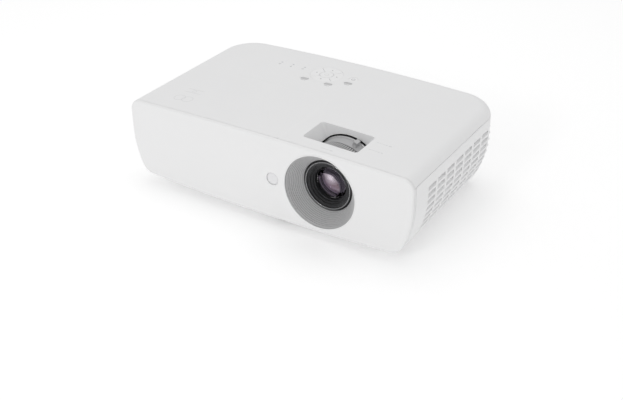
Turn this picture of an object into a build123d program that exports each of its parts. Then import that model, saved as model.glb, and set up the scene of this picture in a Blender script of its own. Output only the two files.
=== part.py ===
from build123d import *
import math
import os

# Home projector, millimetres. +Z up, the lens looks along -Y, the origin is the
# middle of the footprint on the table.

# Case
WIDTH = 332.0
DEPTH = 208.0
HEIGHT = 99.0
FLOOR_GAP = 9.0
WALL = 2.5
CORNER_R = 38.0
SHOULDER_R = 12.0
BOTTOM_R = 15.0
FRONT_EDGE_R = 2.0
TOP_CROWN = 4.5
BOTTOM_CROWN = 3.0
FRONT_BOW = 3.3
BULGE_R = 100.0
BULGE_DROP = 37.0
PART_DROP = 12.7
FRONT_PANEL_DEPTH = 2.9
SEAM = 0.4
CLEAR = 0.3
RIM_WIDTH = 2.4
GROOVE = 0.8

# Lens
LENS_X = 67.3
LENS_DROP = 45.0
RECESS_R = 39.5
RECESS_LIP_R = 0.8
RECESS_DEPTH = 17.0
CELL_R = 26.0
GLASS_R = 17.5
BARREL_WALL = 4.7
RING_T = 4.6
RING_GAP = 0.3
TAB_HEIGHT = 5.0
TAB_ANGLE = 20.0
ZOOM_RING_BACK = 48.5
ZOOM_RING_LENGTH = 13.4
FOCUS_RING_LENGTH = 18.0
FLANGE_T = 4.0

# Window over the lens rings
WINDOW_WIDTH = 61.5
WINDOW_FRONT = 19.5
WINDOW_LENGTH = 37.5
WINDOW_DEPTH = 16.0
WINDOW_SLOPE = 7.5

WINDOW_CORNER_R = 3.5
WELL_BOTTOM = 80.0

# Lamp cover
LAMP_COVER_X = 19.0
LAMP_COVER_Y = 4.0
TONGUE_WIDTH = 22.0
TONGUE_DROP = 35.0
TONGUE_SETBACK = 38.0
HEAD_RECESS = 2.8
CATCH_INSET = 8.4
CATCH_T = 3.0
CATCH_SCREW_DROP = 27.0

# Receiver window
IR_X = 14.0
IR_R = 7.0

# Keypad
PAD_X = -18.0
PAD_Y = 52.0
PAD_R = 18.0
OK_R = 7.5
KEY_GAP = 0.35
KEY_T = 2.2
KEY_SINK = 0.15
KEY_TRAVEL = 0.6
POWER_KEY = (13.0, 56.0)
POWER_KEY_R = 5.0
PILL_KEYS = {"menu": (-33.5, 31.5), "back": (-4.0, 31.5), "source": (13.0, 44.5)}
PILL_LENGTH = 9.0
PILL_R = 2.2
STATUS_LIGHTS = [(-79.0, 57.0), (-64.0, 57.0), (-49.0, 57.0)]
LIGHT_R = 1.2

# Vents
VENT_ROWS = 7
VENT_COLUMNS = 7
VENT_PITCH = 7.4
VENT_COLUMN_PITCH = 20.4
VENT_LENGTH = 16.4
VENT_GAP = 3.0
VENT_SILL = 1.8
VENT_FIRST_DROP = 26.6
VENT_FIRST_Y = 43.2

# Rear tray with the sockets
TRAY_WIDTH = 236.0
TRAY_BOTTOM = 20.0
TRAY_TOP = 80.0
TRAY_DEPTH = 12.0

# Feet
FOOT_X = 19.0
FOOT_SETBACK = 24.0
FOOT_R = 11.0
STUD_R = 3.0
REAR_FOOT_X = 122.0
REAR_FOOT_INSET = 30.0
STUD_BOSS_TOP = 34.0

# Fans and boards
FAN_SIZE = 60.0
FAN_T = 15.0
FAN_SPIN_GAP = 1.0
BLADES = 7
BLADE_PITCH = 35.0
SPEAKER_R = 20.0
BOARD_T = 1.6
KEY_BOARD_DROP = 11.0
MAIN_BOARD_Z = 34.0
POWER_BOARD_Z = 22.0
SHELF_Z = 16.0
FAN_Z = 20.0

# Floor areas (x0, x1, y0, y1)
KEY_BOARD = (-48.0, 24.0, 20.0, 74.0)
MAIN_BOARD = (-62.0, 112.0, 46.0, 88.0)
POWER_BOARD = (-132.0, -66.0, 56.0, 84.0)
BALLAST_BOARD = (-150.0, -66.0, 10.0, 50.0)
ENGINE_AREA = (9.0, 108.0, -40.0, 16.0)
BULB_R = 5.0
LAMP_AREA = (-131.0, -67.0, -56.0, 2.0)
BLOWER_AREA = (-60.0, -10.0, -95.0, -45.0)
INTAKE_SPOT = (134.0, 35.0)
EXHAUST_SPOT = (-149.0, -27.0)
SPEAKER_SPOT = (128.0, -40.0, 45.0)

# Optical engine
SPIGOT_R = 24.0
REAR_GLASS_R = 20.3
TRIM_R = 25.2
TAB_WIDTH = 4.0
RELAY_X = 0.0
RELAY_R = 8.0
MIRROR_X = 26.0
MIRROR_Y = 1.0
SINK_FINS = 10
SWITCH_H = 1.4
KNOB_T = 8.0
ENGINE_BOTTOM = 20.0
ENGINE_TOP = 84.0
ENGINE_WALL = 3.0
LIGHT_Y = -27.0
LIGHT_Z = 48.0
WHEEL_X = -62.0
WHEEL_R = 22.0

# Sockets on the rear tray: x, width, height, all standing on the main board
SOCKETS = {
    "first_digital": (-48.0, 15.0, 6.0),
    "second_digital": (-26.0, 15.0, 6.0),
    "monitor_in": (4.0, 31.0, 12.5),
    "monitor_out": (42.0, 31.0, 12.5),
    "control": (80.0, 31.0, 12.5),
    "service": (104.0, 12.0, 6.0),
}
SOCKET_WALL = 0.8
SOCKET_DEPTH = 7.0
TONGUE_SHARE = 0.2
JACK_X = [-46.0, -30.0, -14.0, 2.0, 18.0]
JACK_R = 4.4
JACK_BORE_R = 1.8
JACK_Z = 60.0
INLET_X = -88.0
INLET_Z = 50.0

# Fasteners
SCREW_R = 1.5
SCREW_HEAD_R = 3.0
SCREW_SEAT = 18.0
SCREW_TOP = 24.0
BOSS_R = 4.5
MOUNT_SPOTS = [(-115.0, -70.0), (115.0, -70.0), (0.0, 56.0)]
INSERT_R = 3.0
INSERT_HOLE_R = 2.0
INSERT_LENGTH = 8.0
INSERT_SINK = 0.6

Y_FRONT = -DEPTH / 2
Y_BACK = DEPTH / 2
HALF = WIDTH / 2
PART_Z = HEIGHT - PART_DROP
LENS_Z = HEIGHT - LENS_DROP
FLOOR_Z = FLOOR_GAP + BOTTOM_CROWN + WALL
PLATE_Y = Y_BACK - TRAY_DEPTH
TONGUE_Y = LAMP_COVER_Y - TONGUE_SETBACK
CATCH_Z = HEIGHT - CATCH_SCREW_DROP
KEY_BOARD_Z = HEIGHT - KEY_BOARD_DROP
RING_R = CELL_R + RING_GAP + BARREL_WALL + RING_GAP + RING_T
WHEEL_Z = LIGHT_Z + WHEEL_R - 5
DMD_Z = LENS_Z - 6


def block(x0, x1, y0, y1, z0, z1):
    centre = Pos((x0 + x1) / 2, (y0 + y1) / 2, (z0 + z1) / 2)
    return centre * Box(x1 - x0, y1 - y0, z1 - z0)


def rod(x, y, z, radius, length, axis="z"):
    turns = {"x": Rot(0, 90, 0), "y": Rot(-90, 0, 0), "z": Rot(0, 0, 0)}
    base = Cylinder(radius, length, align=(Align.CENTER, Align.CENTER, Align.MIN))
    return Pos(x, y, z) * turns[axis] * base


def tube(x, y, z, outer, inner, length, axis="z"):
    return rod(x, y, z, outer, length, axis) - rod(x, y, z, inner, length, axis)


def turned(points, x, z):
    """Solid of revolution about the lens direction; points are (radius, y)."""
    face = make_face(Polyline(*[(x + r, y, z) for r, y in points], close=True))
    return revolve(face, Axis((x, 0, z), (0, 1, 0)), 360)


def sag(radius, reach):
    return radius - math.sqrt(radius**2 - reach**2)


def arc_radius(reach, rise):
    return (reach**2 + rise**2) / (2 * rise)


def bulge_inset(z):
    """How far the wall has leaned in at height z."""
    return sag(BULGE_R, max(0.0, HEIGHT - BULGE_DROP - z))


def roof_z(x):
    return HEIGHT - sag(arc_radius(HALF, TOP_CROWN), abs(x))


def under_z(x):
    return FLOOR_GAP + sag(arc_radius(HALF, BOTTOM_CROWN), abs(x))


def front_y(x):
    return Y_FRONT + sag(arc_radius(HALF, FRONT_BOW), abs(x))


def crown_stations(reach):
    return [reach * step / 3 for step in range(-3, 4)]


def behind_front(offset):
    """Everything behind the bowed front, starting `offset` behind its surface."""
    reach = HALF + 10
    nose = Y_FRONT + offset
    nose_end = nose + sag(arc_radius(HALF, FRONT_BOW), reach)
    plan = make_face(
        [
            ThreePointArc((-reach, nose_end, 0), (0, nose, 0), (reach, nose_end, 0)),
            Polyline((reach, nose_end, 0), (reach, DEPTH, 0), (-reach, DEPTH, 0), (-reach, nose_end, 0)),
        ]
    )
    return extrude(plan, HEIGHT + 10, (0, 0, 1))


def case_form(inset):
    """The outer form of the case, moved inwards by `inset`."""
    low = FLOOR_GAP - 4
    high = HEIGHT + 4
    knee = HEIGHT - BULGE_DROP
    bulge = BULGE_R - inset
    lean = bulge - math.sqrt(bulge**2 - (knee - low) ** 2)
    middle = (knee + low) / 2
    half_lean = bulge - math.sqrt(bulge**2 - (knee - middle) ** 2)

    def section(reach, start, spot):
        rim = [spot(reach, high), spot(reach, knee)]
        arc = ThreePointArc(rim[1], spot(reach - half_lean, middle), spot(reach - lean, low))
        inner = Polyline(spot(reach - lean, low), spot(start, low), spot(start, high), rim[0])
        return make_face([Line(*rim), arc, *inner.edges()])

    side = HALF - inset
    back = Y_BACK - inset
    corner = CORNER_R - inset
    corner_x = HALF - CORNER_R
    corner_y = Y_BACK - CORNER_R
    start_y = Y_FRONT - 4

    flank = extrude(section(side, 0, lambda u, z: (u, start_y, z)), corner_y - start_y, (0, 1, 0))
    rear = extrude(section(back, corner_y, lambda u, z: (0, u, z)), corner_x, (1, 0, 0))
    turn = revolve(
        section(corner, 0, lambda u, z: (corner_x + u, corner_y, z)),
        Axis((corner_x, corner_y, 0), (0, 0, 1)),
        90,
    )
    right = flank + rear + turn
    form = right + mirror(right, Plane.YZ)

    reach = HALF + 10
    under = FLOOR_GAP + inset
    roof_line = [(x, start_y, roof_z(x) - inset) for x in crown_stations(reach)]
    under_line = [(x, start_y, under_z(x) + inset) for x in crown_stations(reach)]
    slab_face = make_face(
        [
            Spline(*roof_line),
            Line(roof_line[-1], under_line[-1]),
            Spline(*under_line),
            Line(under_line[0], roof_line[0]),
        ]
    )
    form = form & extrude(slab_face, DEPTH + 20, (0, 1, 0))
    rims = form.edges().filter_by(lambda e: e.center().Y > start_y + 1)
    roof_rim = rims.filter_by(lambda e: e.bounding_box().min.Z > HEIGHT - inset - TOP_CROWN - 1)
    form = fillet(roof_rim, SHOULDER_R - inset)
    rims = form.edges().filter_by(lambda e: e.center().Y > start_y + 1)
    under_rim = rims.filter_by(lambda e: e.bounding_box().max.Z < under + BOTTOM_CROWN + 1)
    form = fillet(under_rim, BOTTOM_R - inset)

    return form & behind_front(inset)



def save(name, shape):
    export_step(shape, f"parts/{name}.step")


def framed(x, y, z, half_x, half_y, half_z):
    return block(x - half_x, x + half_x, y - half_y, y + half_y, z - half_z, z + half_z)


def window_prism(grow, bottom):
    """The tapered well over the lens rings, `grow` wider all round."""
    half_top = WINDOW_WIDTH / 2 + grow
    half_low = half_top - WINDOW_SLOPE * (HEIGHT - bottom) / WINDOW_DEPTH
    front = Y_FRONT + WINDOW_FRONT - grow
    length = WINDOW_LENGTH + 2 * grow
    face = make_face(
        Polyline(
            (LENS_X - half_low, front, bottom),
            (LENS_X + half_low, front, bottom),
            (LENS_X + half_top, front, HEIGHT),
            (LENS_X + half_top, front, HEIGHT + 2),
            (LENS_X - half_top, front, HEIGHT + 2),
            (LENS_X - half_top, front, HEIGHT),
            close=True,
        )
    )
    prism = extrude(face, length, (0, 1, 0))
    upright = prism.edges().filter_by(lambda e: abs(e.center().Y - front - length / 2) > length / 2 - 0.1)
    upright = upright.filter_by(lambda e: abs(e.center().X - LENS_X) > 5 and e.length > 4)
    return fillet(upright, WINDOW_CORNER_R + grow)


def vent_cutters(first_row):
    """Louvre cutters for the +X flank, with a sloped sill under each opening."""
    cutters = []
    for row in range(first_row, VENT_ROWS):
        z = HEIGHT - VENT_FIRST_DROP - row * VENT_PITCH
        face_x = HALF - bulge_inset(z)
        half = VENT_GAP / 2
        profile = make_face(
            Polyline(
                (face_x - 7, 0, z + half),
                (face_x + 3, 0, z + half),
                (face_x + 3, 0, z - half - 3 - VENT_SILL),
                (face_x - VENT_SILL, 0, z - half),
                (face_x - 7, 0, z - half),
                close=True,
            )
        )
        for column in range(VENT_COLUMNS):
            middle = Y_FRONT + VENT_FIRST_Y + column * VENT_COLUMN_PITCH
            cutters.append(Pos(0, middle - VENT_LENGTH / 2, 0) * extrude(profile, VENT_LENGTH, (0, 1, 0)))
    return cutters


def pill(x, y, z0, z1, grow=0.0):
    half = PILL_LENGTH / 2 - PILL_R
    r = PILL_R + grow
    bar = block(x - half, x + half, y - r, y + r, z0, z1)
    return bar + rod(x - half, y, z0, r, z1 - z0) + rod(x + half, y, z0, r, z1 - z0)


def insert_z(x):
    return under_z(x) + INSERT_SINK


def foot_spots():
    front = (FOOT_X, Y_FRONT + FOOT_SETBACK)
    rear_y = Y_BACK - REAR_FOOT_INSET
    return front, (REAR_FOOT_X, rear_y), (-REAR_FOOT_X, rear_y)


def make_front_panel():
    panel = outer - behind_front(FRONT_PANEL_DEPTH - SEAM / 2) - inner
    panel = panel - rod(LENS_X, -DEPTH, LENS_Z, RECESS_R, DEPTH, "y")
    lip = []
    for edge in panel.edges():
        middle = edge.center(CenterOf.BOUNDING_BOX)
        off_axis = math.hypot(middle.X - LENS_X, middle.Z - LENS_Z)
        if edge.geom_type != GeomType.LINE and off_axis < 1 and middle.Y < Y_FRONT + WALL / 2:
            lip.append(edge)
    panel = fillet(lip, RECESS_LIP_R)
    panel = panel - rod(IR_X, -DEPTH, LENS_Z, IR_R, DEPTH, "y")
    save("front_panel", panel)


def make_lens_recess_ring():
    wall = RECESS_R - 0.1
    start = Y_FRONT + 1.6
    seat = front_y(LENS_X + RECESS_R) + WALL + 0.1
    end = Y_FRONT + RECESS_DEPTH
    mouth = CELL_R + 1.5
    points = [
        (wall, start),
        (wall, seat),
        (wall + 2, seat),
        (wall + 2, seat + 1.5),
        (wall - 1.5, seat + 1.5),
        (mouth + 1.5, end - 0.5),
        (mouth + 1.5, end + 3),
        (mouth, end + 3),
        (mouth, end),
        (wall - 0.6, start),
    ]
    save("lens_recess_ring", turned(points, LENS_X, LENS_Z))


def make_receiver_window():
    start = Y_FRONT + 0.5
    seat = front_y(IR_X + IR_R) + WALL + 0.1
    points = [(0, start - 0.3), (IR_R - 1.5, start), (IR_R, start + 0.8), (IR_R, seat)]
    points += [(IR_R + 1.5, seat), (IR_R + 1.5, seat + 1.2), (0, seat + 1.2)]
    save("receiver_window", turned(points, IR_X, LENS_Z))


def case_screw_spots():
    side = HALF - CORNER_R / 2 - 5
    back = Y_BACK - CORNER_R / 2 - 9
    return [(side + 4, Y_FRONT + 20), (side, back), (-side, back), (LAMP_COVER_X + 5, Y_FRONT + 44)]


def board_corners(area, inset=4.0):
    x0, x1, y0, y1 = area
    return [(x, y) for x in (x0 + inset, x1 - inset) for y in (y0 + inset, y1 - inset)]


def shelf_areas():
    areas = [(*LAMP_AREA, SHELF_Z), (*BLOWER_AREA, SHELF_Z)]
    for x, y in (INTAKE_SPOT, EXHAUST_SPOT):
        areas.append((x, x + FAN_T, y - FAN_SIZE / 2, y + FAN_SIZE / 2, FAN_Z))
    x, y, z = SPEAKER_SPOT
    areas.append((x, x + 8, y - 12, y + 12, z - SPEAKER_R))
    return areas


def make_bottom_case():
    body = shell & behind_front(FRONT_PANEL_DEPTH + SEAM / 2)
    case = body & block(-WIDTH, WIDTH, -DEPTH, DEPTH, 0, PART_Z - SEAM / 2)
    rim_end = FRONT_PANEL_DEPTH + RIM_WIDTH
    groove = (behind_front(rim_end) - behind_front(rim_end + GROOVE)) - case_form(GROOVE)
    case = case - groove
    half_tray = TRAY_WIDTH / 2 + SEAM / 2
    tray_low = TRAY_BOTTOM - SEAM / 2
    case = case - block(-half_tray, half_tray, PLATE_Y - 6, DEPTH, tray_low, HEIGHT)
    notch = TONGUE_WIDTH / 2 + SEAM
    tongue_low = HEIGHT - TONGUE_DROP
    edges = (TONGUE_Y - notch, TONGUE_Y + notch)
    case = case - block(-HALF - 5, -HALF + 12, *edges, tongue_low - SEAM, HEIGHT)
    case = case - vent_cutters(0)
    case = case - [mirror(cutter, Plane.YZ) for cutter in vent_cutters(2)]

    front, rear, fixed = foot_spots()
    solid = [rod(x, y, 0, BOSS_R, SCREW_TOP) for x, y in case_screw_spots()]
    solid += [rod(x, y, 0, STUD_R + 4, STUD_BOSS_TOP) for x, y in (front, rear)]
    solid.append(rod(*fixed, 0, FOOT_R + 1, FLOOR_Z + 2))
    solid += [rod(x, y, 0, INSERT_R + 3, insert_z(x) + INSERT_LENGTH + 2) for x, y in MOUNT_SPOTS]
    solid += [rod(x, y, 0, 3, MAIN_BOARD_Z) for x, y in board_corners(MAIN_BOARD)]
    solid += [rod(x, y, 0, 3, POWER_BOARD_Z) for x, y in board_corners(POWER_BOARD)]
    solid += [rod(x, y, 0, 3, POWER_BOARD_Z) for x, y in board_corners(BALLAST_BOARD)]
    solid += [rod(x, y, 0, 4, ENGINE_BOTTOM) for x, y in board_corners(ENGINE_AREA, 6)]
    for x0, x1, y0, y1, z in shelf_areas():
        for y in (y0 + 3, y1 - 3):
            solid.append(block(x0, x1, y - 1, y + 1, 0, z))
    catch_x = -HALF + CATCH_INSET
    solid.append(block(-HALF, catch_x, TONGUE_Y - 8, TONGUE_Y + 8, tongue_low - 12, tongue_low - 3))
    case = case + [piece & outer for piece in solid]
    catch = block(catch_x - CATCH_T, catch_x, TONGUE_Y - 8, TONGUE_Y + 8, tongue_low - 12, CATCH_Z + 8)
    catch = catch - block(-HALF, 0, TONGUE_Y - 1.9, TONGUE_Y + 1.9, CATCH_Z, HEIGHT)
    case = case + (catch - rod(-HALF, TONGUE_Y, CATCH_Z, 1.9, 20, "x"))

    holes = [rod(x, y, 0, SCREW_HEAD_R + 0.4, SCREW_SEAT) for x, y in case_screw_spots()]
    holes += [rod(x, y, 0, SCREW_R + 0.1, HEIGHT) for x, y in case_screw_spots()]
    holes += [rod(x, y, 0, STUD_R + 0.1, HEIGHT) for x, y in (front, rear)]
    holes.append(rod(*fixed, 0, FOOT_R - 2, FLOOR_Z))
    holes += [rod(x, y, 0, INSERT_R, insert_z(x) + INSERT_LENGTH) for x, y in MOUNT_SPOTS]
    save("bottom_case", case - holes)


def make_top_cover():
    body = shell & behind_front(FRONT_PANEL_DEPTH + SEAM / 2)
    top = body & block(-WIDTH, WIDTH, -DEPTH, DEPTH, PART_Z + SEAM / 2, HEIGHT + 5)
    edge_x = LAMP_COVER_X + SEAM / 2
    edge_y = LAMP_COVER_Y + SEAM / 2
    top = top - block(-WIDTH, edge_x, -DEPTH, edge_y, 0, HEIGHT + 5)
    low = PART_Z + SEAM / 2
    front = Y_FRONT + FRONT_PANEL_DEPTH + FRONT_BOW + 1
    under_top = block(edge_x, edge_x + 6, front, edge_y + 6, low, HEIGHT)
    under_top = under_top + block(-HALF, edge_x + 6, edge_y, edge_y + 6, low, HEIGHT)
    under_lamp = block(edge_x - 6, edge_x, front, edge_y, low, HEIGHT)
    under_lamp = under_lamp + block(-HALF, edge_x, edge_y - 6, edge_y, low, HEIGHT)
    ledge = (outer & under_top) + (case_form(WALL + CLEAR) & under_lamp)
    top = top + (ledge - case_form(WALL + CLEAR + 1.5))

    ring_clear = rod(LENS_X, Y_FRONT + 10, LENS_Z, RING_R + 2, 60, "y")
    well = window_prism(1.5, WELL_BOTTOM) & outer
    top = top + well - window_prism(0, WELL_BOTTOM - 1) - ring_clear

    bosses = [rod(x, y, SCREW_TOP, BOSS_R, HEIGHT) & outer for x, y in case_screw_spots()]
    bosses += [
        rod(x, y, KEY_BOARD_Z + BOARD_T, 2.5, HEIGHT) & outer for x, y in board_corners(KEY_BOARD)
    ]
    top = top + bosses
    holes = [rod(x, y, 0, SCREW_R, SCREW_TOP + 12) for x, y in case_screw_spots()]
    holes.append(rod(PAD_X, PAD_Y, PART_Z, PAD_R + KEY_GAP, 20))
    holes.append(rod(*POWER_KEY, PART_Z, POWER_KEY_R + KEY_GAP, 20))
    holes += [pill(x, y, PART_Z, HEIGHT + 2, KEY_GAP) for x, y in PILL_KEYS.values()]
    holes += [rod(x, y, PART_Z, LIGHT_R, 20) for x, y in STATUS_LIGHTS]
    save("top_cover", top - holes)


def make_lamp_cover():
    tongue_low = HEIGHT - TONGUE_DROP
    half = TONGUE_WIDTH / 2
    area = block(
        -WIDTH,
        LAMP_COVER_X - SEAM / 2,
        -DEPTH,
        LAMP_COVER_Y - SEAM / 2,
        PART_Z + SEAM / 2,
        HEIGHT + 5,
    )
    area = area + block(-WIDTH, -HALF + 12, TONGUE_Y - half, TONGUE_Y + half, tongue_low, PART_Z + 1)
    cover = shell & behind_front(FRONT_PANEL_DEPTH + SEAM / 2) & area
    bottom_of_recess = -HALF + HEAD_RECESS
    boss = rod(-HALF + 1, TONGUE_Y, CATCH_Z, SCREW_HEAD_R + 2.5, HEAD_RECESS + 1.2, "x")
    cover = cover + boss
    cover = cover - rod(-HALF - 5, TONGUE_Y, CATCH_Z, SCREW_HEAD_R + 1.5, 5 + HEAD_RECESS, "x")
    cover = cover - rod(-HALF, TONGUE_Y, CATCH_Z, SCREW_R + CLEAR, 20, "x")
    save("lamp_cover", cover)
    head = rod(-HALF + 0.3, TONGUE_Y, CATCH_Z, SCREW_HEAD_R + 1, HEAD_RECESS - 0.6, "x")
    head = head - framed(-HALF + 0.3, TONGUE_Y, CATCH_Z, 1.2, 5, 0.5)
    shank_end = -HALF + CATCH_INSET - 0.1
    shank = rod(bottom_of_recess - 1, TONGUE_Y, CATCH_Z, SCREW_R, shank_end - bottom_of_recess + 1, "x")
    save("lamp_cover_screw", head + shank)


def socket_body(x, width, height, grow=0.0):
    z = MAIN_BOARD_Z + BOARD_T
    half = width / 2 + grow
    return block(x - half, x + half, PLATE_Y - 12, PLATE_Y + 1, z - grow, z + height + grow)


def make_rear_panel():
    half = TRAY_WIDTH / 2
    rim = WALL
    tray = outer & block(-half, half, PLATE_Y - 2, DEPTH, TRAY_BOTTOM, TRAY_TOP)
    tray = tray - block(-half + rim, half - rim, PLATE_Y, DEPTH, TRAY_BOTTOM + rim, TRAY_TOP - rim)
    tray = tray + (shell & block(-half, half, PLATE_Y - 2, DEPTH, TRAY_TOP - rim, PART_Z - SEAM / 2))
    holes = [socket_body(*socket, 0.1) for socket in SOCKETS.values()]
    holes += [rod(x, PLATE_Y - 5, JACK_Z, JACK_R + 0.1, 10, "y") for x in JACK_X]
    holes.append(framed(INLET_X, PLATE_Y, INLET_Z, 14.1, 5, 10.1))
    save("rear_panel", tray - holes)


def make_sockets():
    pieces = []
    for x, width, height in SOCKETS.values():
        z = MAIN_BOARD_Z + BOARD_T
        body = socket_body(x, width, height)
        middle = z + height / 2
        mouth = min(width / 2 - SOCKET_WALL, height * 0.75)
        body = body - framed(x, PLATE_Y, middle, mouth, SOCKET_DEPTH, height / 2 - SOCKET_WALL)
        tongue = framed(x, PLATE_Y - 4, middle, mouth - 1.5, 4, height * TONGUE_SHARE)
        pieces.append(body + tongue)
    bank_x0 = JACK_X[0] - 8
    bank_x1 = JACK_X[-1] + 8
    bank = block(bank_x0, bank_x1, PLATE_Y - 14, PLATE_Y - 2, JACK_Z - 8, JACK_Z + 8)
    bank = bank + block(bank_x0, bank_x1, PLATE_Y - 16, PLATE_Y - 12.5, MAIN_BOARD_Z + BOARD_T, JACK_Z + 8)
    for x in JACK_X:
        bank = bank + rod(x, PLATE_Y - 2, JACK_Z, JACK_R, 3, "y")
        bank = bank - rod(x, PLATE_Y - 10, JACK_Z, JACK_BORE_R, 12, "y")
    pieces.append(bank)
    save("signal_sockets", Compound(children=pieces))

    inlet = framed(INLET_X, PLATE_Y - 10, INLET_Z, 14, 11, 10)
    inlet = inlet + framed(INLET_X, PLATE_Y + 0.75, INLET_Z, 24, 0.75, 11)
    inlet = inlet - framed(INLET_X, PLATE_Y - 6.5, INLET_Z, 12.2, 8.5, 8.2)
    for x, z in ((-7, -1), (7, -1), (0, 3)):
        inlet = inlet + framed(INLET_X + x, PLATE_Y - 9, INLET_Z + z, 1, 6.5, 2)
    save("mains_inlet", inlet)


def lens_glass(radius, front_y_at, edge, front_bulge, rear_bulge):
    """Round glass about the lens axis, from its front rim plane backwards."""
    back = front_y_at + edge

    def cap(y, bulge):
        half = bulge / 4
        return ThreePointArc(
            (LENS_X, y + bulge, LENS_Z),
            (LENS_X + radius / 2, y + bulge - half, LENS_Z),
            (LENS_X + radius, y, LENS_Z),
        )

    start = cap(front_y_at, -front_bulge)
    end = cap(back, rear_bulge)
    side = Line((LENS_X + radius, front_y_at, LENS_Z), (LENS_X + radius, back, LENS_Z))
    core = Line((LENS_X, front_y_at - front_bulge, LENS_Z), (LENS_X, back + rear_bulge, LENS_Z))
    return revolve(make_face([start, side, end, core]), Axis((LENS_X, 0, LENS_Z), (0, 1, 0)), 360)


def make_lens():
    barrel_in = CELL_R + RING_GAP
    barrel_out = barrel_in + BARREL_WALL
    tip = Y_FRONT + RECESS_DEPTH
    back = Y_FRONT + ZOOM_RING_BACK + 7
    ring_back = back
    zoom_front = ring_back - ZOOM_RING_LENGTH
    focus_back = zoom_front - RING_GAP
    focus_front = focus_back - FOCUS_RING_LENGTH
    flange = ENGINE_AREA[2] - FLANGE_T
    spigot_end = ENGINE_AREA[2] + 28
    points = [
        (barrel_in, focus_front - 2),
        (barrel_out + 2, focus_front - 2),
        (barrel_out + 2, focus_front - RING_GAP),
        (barrel_out, focus_front - RING_GAP),
        (barrel_out, ring_back + RING_GAP),
        (barrel_out + 3, ring_back + RING_GAP),
        (barrel_out + 3, flange),
        (SPIGOT_R, flange),
        (SPIGOT_R, spigot_end),
        (REAR_GLASS_R - 3, spigot_end),
        (REAR_GLASS_R - 3, spigot_end - 1.5),
        (REAR_GLASS_R, spigot_end - 1.5),
        (REAR_GLASS_R, ring_back - 1.5),
        (barrel_in, ring_back - 1.5),
    ]
    barrel = turned(points, LENS_X, LENS_Z)
    plate = framed(LENS_X, flange + FLANGE_T / 2, LENS_Z, 38, FLANGE_T / 2, 29)
    plate = fillet(plate.edges().filter_by(Axis.Y), 6) - rod(LENS_X, flange - 1, LENS_Z, SPIGOT_R, 10, "y")
    barrel = barrel + plate
    screws = [rod(x, flange - 1, z, SCREW_R + 0.1, 10, "y") for x, z in flange_screw_spots()]
    save("lens_barrel", barrel - screws)
    save("rear_lens", lens_glass(REAR_GLASS_R, spigot_end - 6, 4.5, 1.5, -0.5))

    cell_back = tip + 25
    cell = [
        (CELL_R, tip),
        (CELL_R, cell_back),
        (GLASS_R - 2, cell_back),
        (GLASS_R - 2, tip + 16),
        (GLASS_R, tip + 16),
        (GLASS_R, tip + 8),
        (GLASS_R + 1.5, tip + 8),
        (GLASS_R + 1.5, tip + 5.5),
        (GLASS_R + 3.2, tip + 5.5),
        (GLASS_R + 3.2, tip + 3),
        (GLASS_R + 5.2, tip + 3),
        (GLASS_R + 5.2, tip + 1),
        (TRIM_R - 1.2, tip + 1),
        (TRIM_R - 1.2, tip),
        (TRIM_R - 1, tip),
        (TRIM_R - 1, tip + 0.6),
        (TRIM_R, tip + 0.6),
        (TRIM_R, tip),
    ]
    save("front_lens_cell", turned(cell, LENS_X, LENS_Z))
    trim = [(TRIM_R - 1, tip - 0.5), (TRIM_R, tip - 0.5), (TRIM_R, tip + 0.6), (TRIM_R - 1, tip + 0.6)]
    save("lens_trim_ring", turned(trim, LENS_X, LENS_Z))
    save("front_lens", lens_glass(GLASS_R, tip + 9, 7, 4, -1.5))

    zoom_r = REAR_GLASS_R - RING_GAP
    zoom_y = ring_back + 3
    carrier = [
        (zoom_r, zoom_y),
        (zoom_r, zoom_y + 16),
        (zoom_r - 7, zoom_y + 16),
        (zoom_r - 7, zoom_y + 11),
        (zoom_r - 5, zoom_y + 11),
        (zoom_r - 5, zoom_y),
    ]
    save("zoom_lens_cell", turned(carrier, LENS_X, LENS_Z))
    save("zoom_lens", lens_glass(zoom_r - 5, zoom_y + 4, 6.4, 2, 1.5))

    inside = barrel_out + RING_GAP
    focus = tube(LENS_X, focus_front, LENS_Z, RING_R, inside, FOCUS_RING_LENGTH, "y")
    save("focus_ring", focus)
    zoom = tube(LENS_X, zoom_front, LENS_Z, RING_R, inside, ZOOM_RING_LENGTH, "y")
    half_tab = TAB_WIDTH / 2
    tab = block(-half_tab, half_tab, zoom_front + 3, ring_back - 3, RING_R - 2, RING_R + TAB_HEIGHT)
    tab = Pos(LENS_X, 0, LENS_Z) * Rot(0, TAB_ANGLE, 0) * tab
    save("zoom_ring", zoom + tab)


def flange_screw_spots():
    return [(LENS_X + sx * 33, LENS_Z + sz * 24) for sx in (-1, 1) for sz in (-1, 1)]


def make_screws():
    screws = []
    for x, y in case_screw_spots():
        head = rod(x, y, SCREW_SEAT - 2, SCREW_HEAD_R, 2) - framed(x, y, SCREW_SEAT - 2, 2, 0.4, 0.8)
        screws.append(head + rod(x, y, SCREW_SEAT - 0.5, SCREW_R, SCREW_TOP + 10 - SCREW_SEAT))
    face = ENGINE_AREA[2] - FLANGE_T
    for x, z in flange_screw_spots():
        head = rod(x, face - 2, z, SCREW_HEAD_R, 2, "y") - framed(x, face - 2, z, 2, 0.8, 0.4)
        screws.append(head + rod(x, face - 0.5, z, SCREW_R, FLANGE_T + ENGINE_WALL, "y"))
    save("case_screws", Compound(children=screws))
    inserts = []
    for x, y in MOUNT_SPOTS:
        inserts.append(tube(x, y, insert_z(x), INSERT_R, INSERT_HOLE_R, INSERT_LENGTH))
    save("mount_inserts", Compound(children=inserts))


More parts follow.
